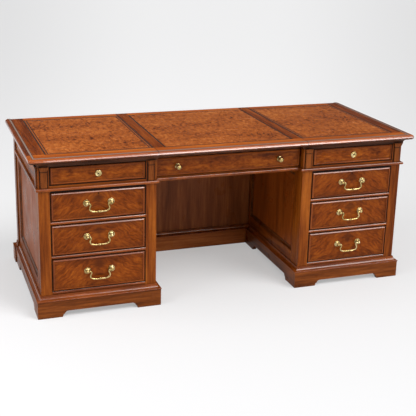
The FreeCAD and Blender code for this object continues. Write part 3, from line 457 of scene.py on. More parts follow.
def back_stiles(graph):
    """Back framework: end posts and stiles upright, rails across."""
    half = graph.unsigned(graph.x)
    post = graph.above(half, BACK_END - BACK_POST)
    stile = graph.below(graph.away(half, INNER_WALL), BACK_STILE / 2)
    return graph.switched(graph.most(post, stile), "X", "Z")


def round_pedestals(graph):
    """Plinths and mouldings: along the front boards, and along the depth at the sides."""
    half = graph.unsigned(graph.x)
    beside = graph.most(graph.above(half, OUTER_WALL), graph.below(half, INNER_WALL))
    return graph.switched(graph.times(graph.above(graph.y, FACE), beside), "X", "Y")


def outside_front(graph, front, x):
    """How far a point lies outside a drawer front, seen straight on; negative inside."""
    low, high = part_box(front)
    return graph.outside((x, low.x, high.x), (graph.z, low.z, high.z))


def front_polish(graph, front, colour, pores):
    """Polish of a drawer front, toned darker towards its edges, with painted shade on its rim at the gap
    round it.
    """
    outward = outside_front(graph, front, graph.x)
    shade = graph.times(graph.rise(outward, *EDGE_SHADING), 0.3)
    # Painted shade on the front-facing rim, where the gap round the drawer lies in shadow
    rim = graph.times(graph.rise(outward, *FRONT_RIM_SHADE), graph.faces(FRONTWARD))
    return polished(graph, graph.mix(shade, colour, FRONT_SHADE), pores, shade_and_joints=rim)


def flame_wood(name, front, seed):
    """Drawer front with a dark flame at its top centre and fine grain that falls away to both sides."""
    graph = Graph(name)
    half = graph.away(graph.x, middle_of(front).x)
    wander = graph.noise(graph.axes("X"), 11.0, 18.0, seed, detail=3.0)
    arch = graph.hypotenuse(half, FLAME_BEND)
    level = graph.plus(graph.plus(graph.z, arch, FLAME_SLOPE), wander, FLAME_WANDER)
    layers = figured_layers(graph, (half, graph.y, level), seed)
    from_heart = graph.away(graph.z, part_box(front)[1].z - FLAME_DROP)
    ragged = graph.plus(graph.plus(from_heart, half, FLAME_SPREAD), wander, FLAME_RAGGED)
    flame = graph.times(graph.rise(ragged, *FLAME_EDGE), 0.6)
    colour = graph.mix(flame, grain_colour(graph, layers, FRONT_TONES), FLAME_DARK)
    return front_polish(graph, front, colour, layers[-1])


def rippled_wood(name, front, seed):
    """Frieze and centre drawer fronts: grain along the front with soft ripples across it."""
    graph = Graph(name)
    ripple = graph.noise(graph.axes("X"), 14.0, 20.0, seed)
    level = graph.plus(graph.z, ripple, RIPPLE_HEIGHT)
    layers = figured_layers(graph, (graph.x, graph.y, level), seed)
    return front_polish(graph, front, grain_colour(graph, layers, RIPPLE_TONES), layers[-1])


def face_frame_painted_shade(graph):
    """Painted shade at the arrises round the drawers, painted shadow in a strip under the waist moulding and
    in lines beside the pilasters.
    """
    half = graph.unsigned(graph.x)
    fronts = [outside_front(graph, "front_right_" + level, half) for level in LEVELS]
    low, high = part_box("front_right_frieze")
    between = graph.below(graph.outside((half, low.x, high.x)), 0.0)
    strip = graph.times(between, graph.line(graph.z, WAIST_LOW.z, WAIST_SHADE_HALF))
    from_stile = graph.away(graph.away(half, PEDESTAL_MIDDLE), PEDESTAL_HALF - STILE / 2)
    beside = graph.times(graph.line(from_stile, PILASTER_EDGE, PILASTER_SHADOW_HALF),
                         graph.above(graph.z, WAIST_HIGH.z))
    shade_and_joints = graph.most(graph.rise(graph.least(*fronts), *FRAME_RIM_SHADE), strip, beside)
    return graph.times(shade_and_joints, graph.faces(FRONTWARD))


def face_frame_wood(name, seed):
    """Stiles and rails of the pedestal fronts, with painted shade round the drawers, under the waist moulding
    and beside the pilasters.
    """
    graph = Graph(name)
    layers = grain_layers(graph, upright_stiles(graph), seed)
    return polished(graph, grain_colour(graph, layers, MAHOGANY), layers[-1], shade_and_joints=face_frame_painted_shade(graph))


def pilaster_wood(name, seed):
    """Pilaster with a line of painted shadow under its cap and painted shade at its foot."""
    low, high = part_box("pilaster_blocks")
    graph = Graph(name)
    layers = grain_layers(graph, graph.axes("Z"), seed)
    # Painted shadow under the cap and painted shade at the foot
    neck = graph.line(graph.z, high.z - PILASTER_CAP, PILASTER_SHADOW_HALF)
    foot = graph.line(graph.z, low.z, PILASTER_FOOT_SHADE_HALF)
    shade_and_joints = graph.times(graph.most(neck, foot), 0.7)
    return polished(graph, grain_colour(graph, layers, DARK_MAHOGANY), layers[-1], shade_and_joints=shade_and_joints)


def outside_field(graph, field):
    """How far a point lies outside a field of the top in plan; negative inside."""
    left, right, front, rear = field
    return graph.outside((graph.x, left, right), (graph.y, front, rear))


def nose_line(graph, wider):
    """1 on the line inside the nose, along the front and both ends; wider adds to each of its edges."""
    from_front = graph.minus(graph.y, TOP_LOW.y)
    from_end = graph.minus(TOP_END, graph.unsigned(graph.x))
    front = graph.times(graph.line(from_front, FRONT_LINE, FRONT_LINE_HALF + wider),
                        graph.above(from_end, END_LINE - END_LINE_HALF - wider))
    end = graph.times(graph.line(from_end, END_LINE, END_LINE_HALF + wider),
                      graph.above(from_front, FRONT_LINE - FRONT_LINE_HALF - wider))
    return graph.most(front, end)


def top_border(graph, field, seed, front_tones):
    """Colour, height and dark seam joint of a border: long grain in each band, a pale nose line that is a
    painted reflection on a groove with painted shadow beside it, dark field lines.
    """
    left, right, front = field[:3]
    aside = graph.above(graph.outside((graph.x, left, right)), 0.0)
    side_band = graph.times(aside, graph.above(graph.y, front))
    layers = grain_layers(graph, graph.switched(side_band, "X", "Y"), seed)
    colour = graph.mix(side_band, grain_colour(graph, layers, front_tones),
                       grain_colour(graph, layers, BAND_TONES))
    shadow = nose_line(graph, LINE_SHADOW)
    rim = graph.line(outside_field(graph, field), 0.0, FIELD_LINE_HALF)
    # Painted shadow beside the groove, then its painted reflection
    colour = graph.mix(graph.times(shadow, 0.85), colour, STRING_AND_SHADOW_DARK)
    colour = graph.mix(graph.times(nose_line(graph, 0.0), 0.9), colour, GROOVE_REFLECTION)
    colour = graph.mix(rim, colour, STRING_AND_SHADOW_DARK)
    height = graph.minus(graph.times(layers[-1], 0.25), graph.most(shadow, rim))
    return colour, height, graph.line(graph.unsigned(graph.x), SEAM, SEAM_HALF)


def border_wood(name, field, seed):
    """Border of one top section."""
    graph = Graph(name)
    colour, height, shade_and_joints = top_border(graph, field, seed, BORDER_TONES)
    return polished(graph, colour, height, specular=0.07, smooth=0.18, rough=0.28, shade_and_joints=shade_and_joints)


def nose_wood(name, seed):
    """Nose of the top: painted shade underneath, with more lacquer on its flat."""
    graph = Graph(name)
    colour, height, shade_and_joints = top_border(graph, ALL_FIELDS, seed, NOSE_TONES)
    over_edge = graph.minus(graph.z, TOP_LOW.z)
    # Painted shade on the underside of the nose
    shade_and_joints = graph.most(shade_and_joints, graph.times(graph.rise(over_edge, *NOSE_UNDERSIDE_SHADE), 0.8))
    coat = graph.plus(0.25, graph.line(over_edge, NOSE_FLAT, NOSE_FLAT_HALF), 0.75)
    return polished(graph, colour, height, specular=0.12, smooth=0.18, rough=0.28, shade_and_joints=shade_and_joints, coat=coat,
                    edge_radius=0.4 * MM)


def burl_wood(name, seed):
    """Mottled burl fields with wavy streaks along the desk; the end fields have a second line inside."""
    graph = Graph(name)
    straight = graph.axes("X")
    swirl = graph.noise(straight, 16.0, 26.0, seed, detail=3.0, distortion=1.0)
    waved = (graph.plus(graph.y, swirl, BURL_WAVE), graph.x, graph.z)
    mottle = graph.noise(waved, 46.0, 60.0, seed + 1, detail=5.0, roughness=0.68, distortion=0.6)
    clouds = graph.noise(straight, 3.0, 6.0, seed + 2)
    flecks = graph.noise(waved, 85.0, 120.0, seed + 3, detail=3.0)
    colour = graph.ramp(graph.choose(0.3, mottle, clouds), BURL_STOPS)
    colour = graph.mix(graph.times(graph.rise(flecks, 0.54, 0.68), 0.42), colour, BURL_FLECK)
    ends = graph.least(outside_field(graph, LEFT_FIELD), outside_field(graph, RIGHT_FIELD))
    strip = graph.times(graph.above(ends, -INNER_LINE), graph.below(ends, 0.0))
    colour = graph.mix(strip, colour, BURL_STRIP)
    lines = graph.most(graph.line(ends, -INNER_LINE, INNER_LINE_HALF),
                       graph.line(ends, 0.0, END_FIELD_LINE_HALF),
                       graph.line(outside_field(graph, CENTRE_FIELD), 0.0, FIELD_LINE_HALF))
    colour = graph.mix(lines, colour, STRING_AND_SHADOW_DARK)
    height = graph.minus(graph.times(flecks, 0.3), lines)
    return polished(graph, colour, height, smooth=0.2, rough=0.3, wear=0.0)


def brass_metal(name):
    """Aged brass: uneven polish, dark patina in the recesses, painted shade in the keyholes of the locks."""
    graph = Graph(name)
    cloud = graph.noise(graph.axes("X"), 60.0, 60.0, 1.0, detail=4.0)
    grain = graph.noise(graph.axes("X"), 900.0, 900.0, 2.0)
    recess = graph.times(graph.rise(graph.open_air(PATINA_REACH), 0.85, 0.3), 0.9)
    colour = graph.mix(recess, graph.ramp(cloud, BRASS_STOPS), PATINA)
    # Painted shade in the bore of each keyhole
    lock = middle_of("lock_right")
    from_key = graph.hypotenuse(graph.minus(graph.unsigned(graph.x), lock.x), graph.minus(graph.z, lock.z))
    return graph.finished({"Base Color": graph.mix(graph.rise(from_key, *KEYHOLE_SHADE_RIM), colour, KEYHOLE_SHADE),
                           "Metallic": 1.0,
                           "Roughness": graph.spread(cloud, 0.0, 1.0, 0.18, 0.36),
                           "Normal": graph.relief(grain, 0.08, BRASS_RELIEF, graph.facing)})


# Finish of every solid

def dress(material, *names):
    for name in names:
        nodes[name].data.materials.clear()
        nodes[name].data.materials.append(material)


def dress_top():
    dress(border_wood("border_left", LEFT_FIELD, 1.0), "top_left")
    dress(border_wood("border_right", RIGHT_FIELD, 4.0), "top_right")
    dress(border_wood("border_centre", CENTRE_FIELD, 7.0), "top_centre")
    dress(burl_wood("burl", 11.0), "top_fields")


def dress_pedestals():
    dress(face_frame_wood("face_frame_wood", 21.0), "face_frame_left", "face_frame_right")
    dress(board_wood("side_frame_wood", 31.0, side_stiles, specular=0.03, bump=0.02),
          "side_frames_outer", "side_frames_inner")
    dress(board_wood("panel_wood", 41.0, along("Z"), tones=PANEL_TONES, specular=0.03, bump=0.02),
          "side_panels")
    dress(pilaster_wood("pilaster_wood", 46.0), "pilaster_blocks")
    dress(board_wood("moulding_wood", 51.0, round_pedestals), "waist_moulding", "plinth_caps")
    # Panel mouldings take darker tones as painted shade
    dress(board_wood("panel_moulding_wood", 53.0, side_stiles, tones=RECESS_SHADE_TONES, wear=0.3),
          "panel_mouldings")
    dress(board_wood("plinth_wood", 54.0, round_pedestals, tones=DARK_MAHOGANY), "plinths")
    dress(board_wood("cove_wood", 56.0, round_pedestals, tones=SHADED_TONES), "top_cove")


def dress_kneehole_and_back():
    dress(board_wood("cross_wood", 61.0, along("X")), "back_plinth")
    dress(board_wood("kneehole_plinth_wood", 63.0, along("X"), tones=KNEEHOLE_PLINTH_TONES), "modesty_plinth")
    dress(board_wood("centre_rail_wood", 66.0, along("X")), "centre_rails")
    dress(board_wood("kneehole_wood", 71.0, along("Z"), tones=KNEEHOLE_TONES), "modesty_panel")
    dress(board_wood("back_panel_wood", 76.0, along("Z"), tones=PANEL_TONES), "back_panels")
    dress(board_wood("back_frame_wood", 81.0, back_stiles), "back_frame")
    dress(pale_wood("inner_wood", 91.0, along("Y")), "bottom_boards", "drawer_runners", "centre_runners")


def dress_drawers(brass):
    box_wood = pale_wood("box_wood", 96.0, along("Y"))
    seed = 101.0
    for side in SIDES:
        for level in STACK:
            name = "%s_%s" % (side, level)
            dress(flame_wood("flame_" + name, "front_" + name, seed), "front_" + name)
            dress(box_wood, "box_" + name)
            dress(brass, "posts_" + name, "bail_" + name)
            seed += 10.0
        front = "front_%s_frieze" % side
        dress(rippled_wood("frieze_" + side, front, seed), front)
        dress(box_wood, "box_%s_frieze" % side)
        dress(brass, "lock_" + side, "lock_plug_" + side)
        seed += 10.0
    dress(rippled_wood("centre_front", "front_centre", seed), "front_centre")
    dress(box_wood, "box_centre")
    dress(brass, "knobs_centre")


# Turned, swept and framed forms

TURN_STEPS = 32
NUT_SIDES = 6
TUBE_STEPS = 16
POINT_RADIUS = 0.001
SHARP_ANGLE = math.radians(38)
CRISP_ANGLE = math.radians(9)


def arc(middle, radii, start, end, steps):
    """Points of an arc with its own radius each way; the angles are in degrees."""
    points = []
    for index in range(steps + 1):
        angle = math.radians(start + (end - start) * index / steps)
        points.append((middle[0] + radii[0] * math.cos(angle), middle[1] + radii[1] * math.sin(angle)))
    return points


def full_turn(steps):
    """Angles of equal steps round a circle."""
    return [2 * math.pi * index / steps for index in range(steps)]


def bridge(bm, first, second):
    """Faces between two rings; a ring of one vertex closes to a point."""
    count = max(len(first), len(second))
    for index in range(count):
        after = (index + 1) % count
        corners = (first[index % len(first)], first[after % len(first)],
                   second[after % len(second)], second[index % len(second)])
        bm.faces.new(list(dict.fromkeys(corners)))


def skin(bm, rings, ends):
    """Faces along a row of rings; its ends are left open, capped, or joined to each other."""
    for first, second in zip(rings, rings[1:]):
        bridge(bm, first, second)
    if ends == "joined":
        bridge(bm, rings[-1], rings[0])
    if ends == "capped":
        bm.faces.new(rings[0])
        bm.faces.new(rings[-1])


def lathe(bm, outline, centre, ends="open", steps=TURN_STEPS):
    """Turned form about an axis to the front; the outline gives radius and distance out in millimetres."""
    rings = []
    for radius, out in outline:
        turns = steps if radius > POINT_RADIUS else 1
        rings.append([bm.verts.new(centre + Vector((radius * math.cos(a), -out, radius * math.sin(a))) * MM)
                      for a in full_turn(turns)])
    skin(bm, rings, ends)


def tube(bm, stations):
    """Tube through stations of place and radius that lie in one upright plane along the front."""
    inward = Vector((0, 1, 0))
    rings = []
    for index, (place, radius) in enumerate(stations):
        before = stations[max(index - 1, 0)][0]
        after = stations[min(index + 1, len(stations) - 1)][0]
        upward = (after - before).normalized().cross(inward)
        rings.append([bm.verts.new(place + (upward * math.cos(a) + inward * math.sin(a)) * radius)
                      for a in full_turn(TUBE_STEPS)])
    skin(bm, rings, "capped")


def mitred(bm, corners, level, outline):
    """Moulding along a path in plan; the outline gives distance out and height in millimetres."""
    corners = [Vector(corner) for corner in corners]
    runs = [(end - start).normalized() for start, end in zip(corners, corners[1:])]
    normals = [Vector((run.y, -run.x)) for run in runs]
    rings = []
    for corner, before, after in zip(corners, normals[:1] + normals, normals + normals[-1:]):
        slant = (before + after) / (1 + before.dot(after))
        rings.append([bm.verts.new((*(corner + slant * out * MM), level + up * MM)) for out, up in outline])
    skin(bm, rings, "capped")


def framed(bm, low, high, outline):
    """Mitred frame on a front; the outline gives inset from its edge and height off it in millimetres."""
    rings = []
    for inset, out in outline:
        x0, x1 = low.x + inset * MM, high.x - inset * MM
        z0, z1 = low.z + inset * MM, high.z - inset * MM
        corners = ((x0, z0), (x1, z0), (x1, z1), (x0, z1))
        rings.append([bm.verts.new((x, low.y - out * MM, z)) for x, z in corners])
    skin(bm, rings, "joined")


def piece(name, bm, material, body, sharp=SHARP_ANGLE):
    """Object of a finished mesh that goes with a body, shaded smooth up to the sharp angle."""
    bmesh.ops.recalc_face_normals(bm, faces=bm.faces)
    mesh = bpy.data.meshes.new(name)
    bm.to_mesh(mesh)
    bm.free()
    mesh.polygons.foreach_set("use_smooth", [True] * len(mesh.polygons))
    mesh.set_sharp_from_angle(angle=sharp)
    mesh.materials.append(material)
    made = bpy.data.objects.new(name, mesh)
    bpy.context.scene.collection.objects.link(made)
    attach(made, body)
    return made


# Brass pieces in millimetres; a turned outline gives radius and distance out from the drawer front

ROSETTE = 15.0
STAND_OFF = 16.5
BALL = 7.5
BALL_GAP = 0.8
POST = ([(0, 0), (ROSETTE, 0), (ROSETTE, 0.8)] + arc((14.2, 0.8), (0.8, 0.8), 0, 90, 4)
        + [(12.9, 1.6), (12.3, 1.1), (11.6, 1.5)] + arc((4.0, 1.5), (7.4, 5.5), 0, 80, 8)
        + [(4.2, 7.6), (3.8, 8.6)] + arc((0, STAND_OFF), (BALL, BALL), -58, 90, 12))
BAIL_DROP = 38.0
BAIL_WIRE = 3.6
BAIL_SWELL = 0.5
SWELL_DEPTH = 8.0
BEND_STEPS = 5
PIN_LENGTH = 5.5
PIN_RADIUS = 2.4
PIN_SHOULDER = 0.3
BEAD_BALL = 5.6
BEAD_RING = 4.4
BEAD_RING_FROM = 6.4
BEAD_RING_TO = 8.0
BEAD_REACH = 10.5
BEAD_STEP = 0.5
KNOB_SEAT = 11.5
KNOB_BALL = 13.4
KNOB = ([(0, 0), (13.2, 0), (13.2, 0.9)] + arc((12.3, 0.9), (0.9, 0.9), 0, 90, 4)
        + [(10.2, 2.0), (9.2, 2.4), (6.6, 3.4), (5.4, 4.6), (5.2, 5.8)]
        + arc((0, 18.1), (KNOB_BALL, KNOB_BALL), -67, 90, 16))
LOCK_BORE = 6.6
LOCK_END = -24.3
LOCK_RING = ([(9.5, LOCK_END), (9.5, 0), (15, 0), (15, 1.3)] + arc((13.2, 1.3), (1.8, 2.0), 0, 85, 5)
             + [(11.4, 3.6), (10.4, 3.4), (8.8, 2.5), (7.4, 1.9), (LOCK_BORE, 1.6), (LOCK_BORE, LOCK_END)])
PLUG = 6.45
PLUG_END = -24.6
LOCK_PLUG = ([(0, PLUG_END), (PLUG, PLUG_END), (PLUG, 1.0)] + arc((5.4, 1.0), (1.05, 1.1), 0, 80, 4)
             + [(4.7, 2.3), (4.0, 2.4), (3.7, 2.1), (3.6, -7.0), (0, -7.0)])
CAM_HALF = 6.5
CAM_LENGTH = 50.0
CAM_THICKNESS = 2.5
WASHER = [(0, 0), (6.5, 0), (6.5, -0.7), (6.2, -1.0), (0, -1.0)]
NUT = [(4.2, -1.0), (4.6, -1.4), (4.6, -4.0), (4.1, -4.5)]
BOLT_END = [(0, -4.4), (2.0, -4.4), (2.0, -6.6), (1.5, -7.2), (0, -7.2)]


def paired_places(node, seat):
    """Two places on the drawer front, each as far in from an end of the node as its seat says."""
    low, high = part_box(node)
    level = (low.z + high.z) / 2
    return [Vector((x, high.y, level)) for x in (low.x + seat * MM, high.x - seat * MM)]


def smooth_point(before, start, end, after, share):
    """Point at a share of the way on a smooth curve from start to end that heeds the points round them."""
    slope = end - before
    bend = 2 * before - 5 * start + 4 * end - after
    twist = 3 * start - before - 3 * end + after
    return 0.5 * (2 * start + slope * share + bend * share ** 2 + twist * share ** 3)


def bail_path(reach):
    """Left half of the bail from its pin down to the bead, as smooth points."""
    drop = BAIL_DROP
    bends = [(-reach - 1, 0), (-reach, 0), (-reach + 2, 0), (-0.88 * reach, -0.05 * drop),
             (-0.84 * reach, -0.18 * drop), (-0.92 * reach, -0.42 * drop), (-0.95 * reach, -0.60 * drop),
             (-0.87 * reach, -0.82 * drop), (-0.64 * reach, -0.96 * drop), (-0.36 * reach, -drop),
             (-11, -drop), (0, -drop)]
    bends = [Vector(bend) for bend in bends]
    points = []
    for before, start, end, after in zip(bends, bends[1:], bends[2:], bends[3:]):
        for index in range(BEND_STEPS):
            points.append(smooth_point(before, start, end, after, index / BEND_STEPS))
    return points


def wire_radius(point):
    """Radius of the bail, which swells towards its pins."""
    return BAIL_WIRE + BAIL_SWELL * max(0.0, 1 + point.y / SWELL_DEPTH)


def bead_radius(offset):
    """Radius of the bail near its middle: a ball between two small rings."""
    ball = math.sqrt(max(BEAD_BALL ** 2 - offset ** 2, 0.0))
    ring = BEAD_RING if BEAD_RING_FROM < abs(offset) < BEAD_RING_TO else 0.0
    return max(ball, ring, BAIL_WIRE)


def bail_stations(pivot, reach):
    """Places and radii along the whole bail, from pin to pin."""
    half = [(Vector((-reach - PIN_LENGTH, 0)), PIN_RADIUS), (Vector((-reach - PIN_SHOULDER, 0)), PIN_RADIUS)]
    half += [(point, wire_radius(point)) for point in bail_path(reach)]
    for index in range(round(BEAD_REACH / BEAD_STEP)):
        offset = index * BEAD_STEP - BEAD_REACH
        half.append((Vector((offset, -BAIL_DROP)), bead_radius(offset)))
    middle = (Vector((0, -BAIL_DROP)), bead_radius(0.0))
    other = [(Vector((-point.x, point.y)), radius) for point, radius in reversed(half)]
    whole = half + [middle] + other
    return [(pivot + Vector((point.x, 0, point.y)) * MM, radius * MM) for point, radius in whole]


def make_pull(side, level, brass):
    """Two turned posts, the bail that swings between them, and their nuts."""
    name = "%s_%s" % (side, level)
    places = paired_places("posts_" + name, ROSETTE)
    bm = bmesh.new()
    for place in places:
        lathe(bm, POST, place)
    posts = piece("turned_posts_" + name, bm, brass, "drawer_" + name)
    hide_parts("posts_" + name)
    pivot = (places[0] + places[1]) / 2 - Vector((0, STAND_OFF * MM, 0))
    reach = (places[1].x - places[0].x) / 2 / MM - BALL - BALL_GAP
    bm = bmesh.new()
    tube(bm, bail_stations(pivot, reach))
    bail = piece("swept_bail_" + name, bm, brass, "pull_" + name)
    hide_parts("bail_" + name)
    make_nuts("nuts_" + name, places, "front_" + name, "drawer_" + name, brass)


def make_nuts(name, places, front, body, brass):
    """Washers, six-sided nuts and bolt ends behind a drawer front."""
    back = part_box(front)[1].y
    bm = bmesh.new()
    for place in places:
        centre = Vector((place.x, back, place.z))
        lathe(bm, WASHER, centre)
        lathe(bm, NUT, centre, ends="capped", steps=NUT_SIDES)
        lathe(bm, BOLT_END, centre)
    piece(name, bm, brass, body)


def make_knobs(brass):
    """Ball knobs on small roses."""
    places = paired_places("knobs_centre", KNOB_SEAT)
    bm = bmesh.new()
    for place in places:
        lathe(bm, KNOB, place)
    knobs = piece("turned_knobs", bm, brass, "drawer_centre")
    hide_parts("knobs_centre")
    make_nuts("nuts_centre", places, "front_centre", "drawer_centre", brass)


def make_lock(side, brass):
    """Round lock: dished ring with its barrel, and a turning plug with keyhole and cam."""
    centre = middle_of("lock_" + side)
    centre.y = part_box("front_%s_frieze" % side)[0].y
    bm = bmesh.new()
    lathe(bm, LOCK_RING, centre, ends="joined")
    ring = piece("turned_lock_" + side, bm, brass, "drawer_%s_frieze" % side)
    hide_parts("lock_" + side)
    bm = bmesh.new()
    lathe(bm, LOCK_PLUG, centre)
    make_cam(bm, centre, 1 if side == "left" else -1)
    plug = piece("turned_plug_" + side, bm, brass, "plug_" + side)
    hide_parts("lock_plug_" + side)


def make_cam(bm, centre, inward):
    """Flat locking cam with round ends on the back of the plug."""
    ends = (CAM_HALF, CAM_HALF)
    outline = arc((0, 0), ends, 90, 270, 10) + arc((CAM_LENGTH - CAM_HALF, 0), ends, -90, 90, 10)
    rings = []
    for depth in (-PLUG_END, CAM_THICKNESS - PLUG_END):
        rings.append([bm.verts.new(centre + Vector((inward * x, depth, z)) * MM) for x, z in outline])
    skin(bm, rings, "capped")


# Wooden mouldings in millimetres; outlines give distance out and height, the cock bead's inset and height

COCK_BEAD = [(2.6, -2.0), (2.6, -0.8), (7.4, 2.4), (8.2, 2.7), (9.5, 2.4), (9.8, -0.2), (9.8, -2.0)]
RAIL_BEAD = [(-0.6, -5.6), (1.6, -4.6), (2.8, -2.4), (3.0, 0.6), (1.6, 3.2), (-0.2, 5.6), (-0.6, 5.6)]
LOW_RAIL_DROP = 8
WAIST_REACH = 11.0
CAP_BEAD = 2.6
CAP_REACH = 20
CAP_SHELF = 17
CAP_FILLET = 4
CAP_COVE_TOP = 20
CAP_TOP = 24
CAP_COVE = (CAP_SHELF - CAP_FILLET, CAP_COVE_TOP - 2 * CAP_BEAD)
PLINTH_CAP = ([(0, 0), (CAP_REACH, 0)] + arc((CAP_REACH, CAP_BEAD), (CAP_BEAD, CAP_BEAD), -90, 90, 10)
              + [(CAP_SHELF, 2 * CAP_BEAD)]
              + arc((CAP_SHELF, CAP_COVE_TOP), CAP_COVE, -90, -180, 10)
              + [(CAP_FILLET, CAP_TOP), (0, CAP_TOP)])
NOSE = ([(-11, 22.2)] + arc((-10.2, 11.2), (11, 11), 90, 24, 8) + [(0.2, 14.8), (1.1, 9.6)]
        + arc((-8.3, 9.2), (9.2, 9.0), -6, -75, 6) + [(-11, 0.4)])
NOSE_STRIP = [(-28, 22.2), (-11, 22.2), (-11, 21), (-28, 21)]
TOP_CORNER = 12
CORNER_STEPS = 12
COVE_FILLET = [(0, -0.4), (2.8, -0.2), (2.0, 4.0), (0, 4.6)]
KNEEHOLE_BEAD = arc((0, 0), (3.4, 3.8), -90, 90, 8)
KNEEHOLE_BEAD_DROP = 4


def bead_wood(name, front, seed):
    """Cock bead: grain along each of its four lengths."""
    low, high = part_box(front)
    width = COCK_BEAD[-1][0] * MM

    def axes_of(graph):
        upright = graph.above(graph.outside((graph.x, low.x + width, high.x - width)), 0.0)
        return graph.switched(upright, "X", "Z")

    return bright_wood(name, seed, axes_of, edge_radius=0.5 * MM)


def make_cock_bead(front, body, seed):
    """Thin bead let in round a drawer front, with a bright slope on its outer edge."""
    bm = bmesh.new()
    framed(bm, *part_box(front), COCK_BEAD)
    wood = bead_wood("bead_wood_" + front, front, seed)
    piece("cock_bead_" + front, bm, wood, body, sharp=CRISP_ANGLE)


def make_rail_beads():
    """Rounded faces of the rails between the stack drawers and under the lowest."""
    levels = [(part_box("front_left_" + under)[1].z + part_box("front_left_" + over)[0].z) / 2
              for under, over in zip(STACK, STACK[1:])]
    levels.append(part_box("front_left_low")[0].z - LOW_RAIL_DROP * MM)
    bm = bmesh.new()
    for side in (-1, 1):
        ends = sorted((side * (OUTER_WALL - STILE), side * (INNER_WALL + STILE)))
        for level in levels:
            mitred(bm, [(end, FACE) for end in ends], level, RAIL_BEAD)
    piece("rail_beads", bm, bright_wood("rail_bead_wood", 58.0, along("X")), "carcass")


def pedestal_path(kneehole):
    """Plan path round both pedestals, across the kneehole at the given depth."""
    back = SIDE_HIGH.y
    half = [(-OUTER_WALL, back), (-OUTER_WALL, FACE), (-INNER_WALL, FACE), (-INNER_WALL, kneehole)]
    return half + [(-x, y) for x, y in reversed(half)]


def make_waist(wood):
    """Half-round moulding at the waist."""
    half = (WAIST_HIGH.z - WAIST_LOW.z) / 2 / MM
    outline = [(0, 0)] + arc((WAIST_REACH - half, half), (half, half), -90, 90, 14) + [(0, 2 * half)]
    bm = bmesh.new()
    mitred(bm, pedestal_path(RAIL_FACE), WAIST_LOW.z, outline)
    waist = piece("rounded_waist", bm, wood, "carcass")
    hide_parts("waist_moulding")


def make_plinth_caps(wood):
    """Bead, shelf and cove on the plinth."""
    bm = bmesh.new()
    mitred(bm, pedestal_path(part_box("modesty_panel")[0].y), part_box("plinth_caps")[0].z, PLINTH_CAP)
    caps = piece("coved_plinth_caps", bm, wood, "carcass")
    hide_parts("plinth_caps")


def make_nose():
    """Nose along the front and both ends of the top and round its corners: a quarter round over a flat."""
    radius = TOP_CORNER * MM
    half, front, rear = TOP_END - radius, TOP_LOW.y + radius, TOP_HIGH.y - radius
    corners = (((-half, rear), 90), ((-half, front), 180), ((half, front), 270), ((half, rear), 360))
    path = []
    for middle, start in corners:
        path += arc(middle, (radius, radius), start, start + 90, CORNER_STEPS)
    ends = [(-TOP_END, TOP_HIGH.y), (-TOP_END, TOP_LOW.y), (TOP_END, TOP_LOW.y), (TOP_END, TOP_HIGH.y)]
    bm = bmesh.new()
    mitred(bm, path, TOP_LOW.z, NOSE)
    mitred(bm, ends, TOP_LOW.z, NOSE_STRIP)
    piece("rounded_nose", bm, nose_wood("nose_wood", 9.0), "carcass", sharp=CRISP_ANGLE)


def make_fillets(wood):
    """Small fillet under the cove and a bead on the plinth rail of the kneehole."""
    low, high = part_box("modesty_plinth")
    bm = bmesh.new()
    mitred(bm, pedestal_path(RAIL_FACE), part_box("top_cove")[0].z, COVE_FILLET)
    mitred(bm, [(-INNER_WALL, low.y), (INNER_WALL, low.y)], high.z - KNEEHOLE_BEAD_DROP * MM, KNEEHOLE_BEAD)
    piece("fillets", bm, wood, "carcass")


def make_pieces(brass):
    """Every piece that is added to the solids or stands for one."""
    seed = 201.0
    for side in SIDES:
        for level in STACK:
            make_pull(side, level, brass)
        make_lock(side, brass)
        for level in LEVELS:
            make_cock_bead("front_%s_%s" % (side, level), "drawer_%s_%s" % (side, level), seed)
            seed += 10.0
    make_cock_bead("front_centre", "drawer_centre", seed)
    make_knobs(brass)
    make_rail_beads()
    moulding = bright_wood("bright_moulding_wood", 52.0, round_pedestals)
    make_waist(moulding)
    make_plinth_caps(moulding)
    # The fillets get little painted shade in their recesses
    make_fillets(board_wood("fillet_wood", 59.0, round_pedestals, specular=0.4, coat=1.0, glaze=0.3))
    make_nose()


# Studio; the lamps aim at the middle of the desk or at its nose

DESK_MIDDLE = (0.0, 0.0, 0.5)
NOSE_RIGHT = (0.27, -0.46, 0.74)
NOSE_LEFT = (-0.6, -0.46, 0.74)
FLOOR_HALF = 40.0
FLOOR_GLOW = 0.375
FAR_GLOW = 0.115
SIDE_FADE = 0.13
FAR_GLOW_REACH = (4.6, 7.5)
SIDE_FADE_REACH = (4.0, 8.0)
SIDE_FADE_SLOPE = (0.05, 0.3)
SKY_STOPS = ((0.05, 0.80), (0.13, 0.05), (0.35, 0.06), (0.90, 0.75))


def make_camera():
    upward = CAMERA_BACK.cross(CAMERA_LEVEL)
    right = CAMERA_LEVEL * math.cos(CAMERA_ROLL) + upward * math.sin(CAMERA_ROLL)
    up = upward * math.cos(CAMERA_ROLL) - CAMERA_LEVEL * math.sin(CAMERA_ROLL)
    data = bpy.data.cameras.new("camera")
    data.sensor_width = SENSOR_WIDTH
    data.lens = CAMERA_FOCUS / PICTURE_SIDE * SENSOR_WIDTH
    data.shift_y = CAMERA_LIFT / PICTURE_SIDE
    camera = bpy.data.objects.new("camera", data)
    turn = Matrix((right, up, CAMERA_BACK)).transposed()
    camera.matrix_world = Matrix.Translation(CAMERA_PLACE) @ turn.to_4x4()
    bpy.context.scene.collection.objects.link(camera)
    bpy.context.scene.camera = camera


def hang_lamp(name, data, place, target):
    """Lamp at a place that shines at the target."""
    lamp = bpy.data.objects.new(name, data)
    lamp.location = place
    lamp.rotation_euler = (Vector(target) - Vector(place)).to_track_quat("-Z", "Y").to_euler()
    bpy.context.scene.collection.objects.link(lamp)


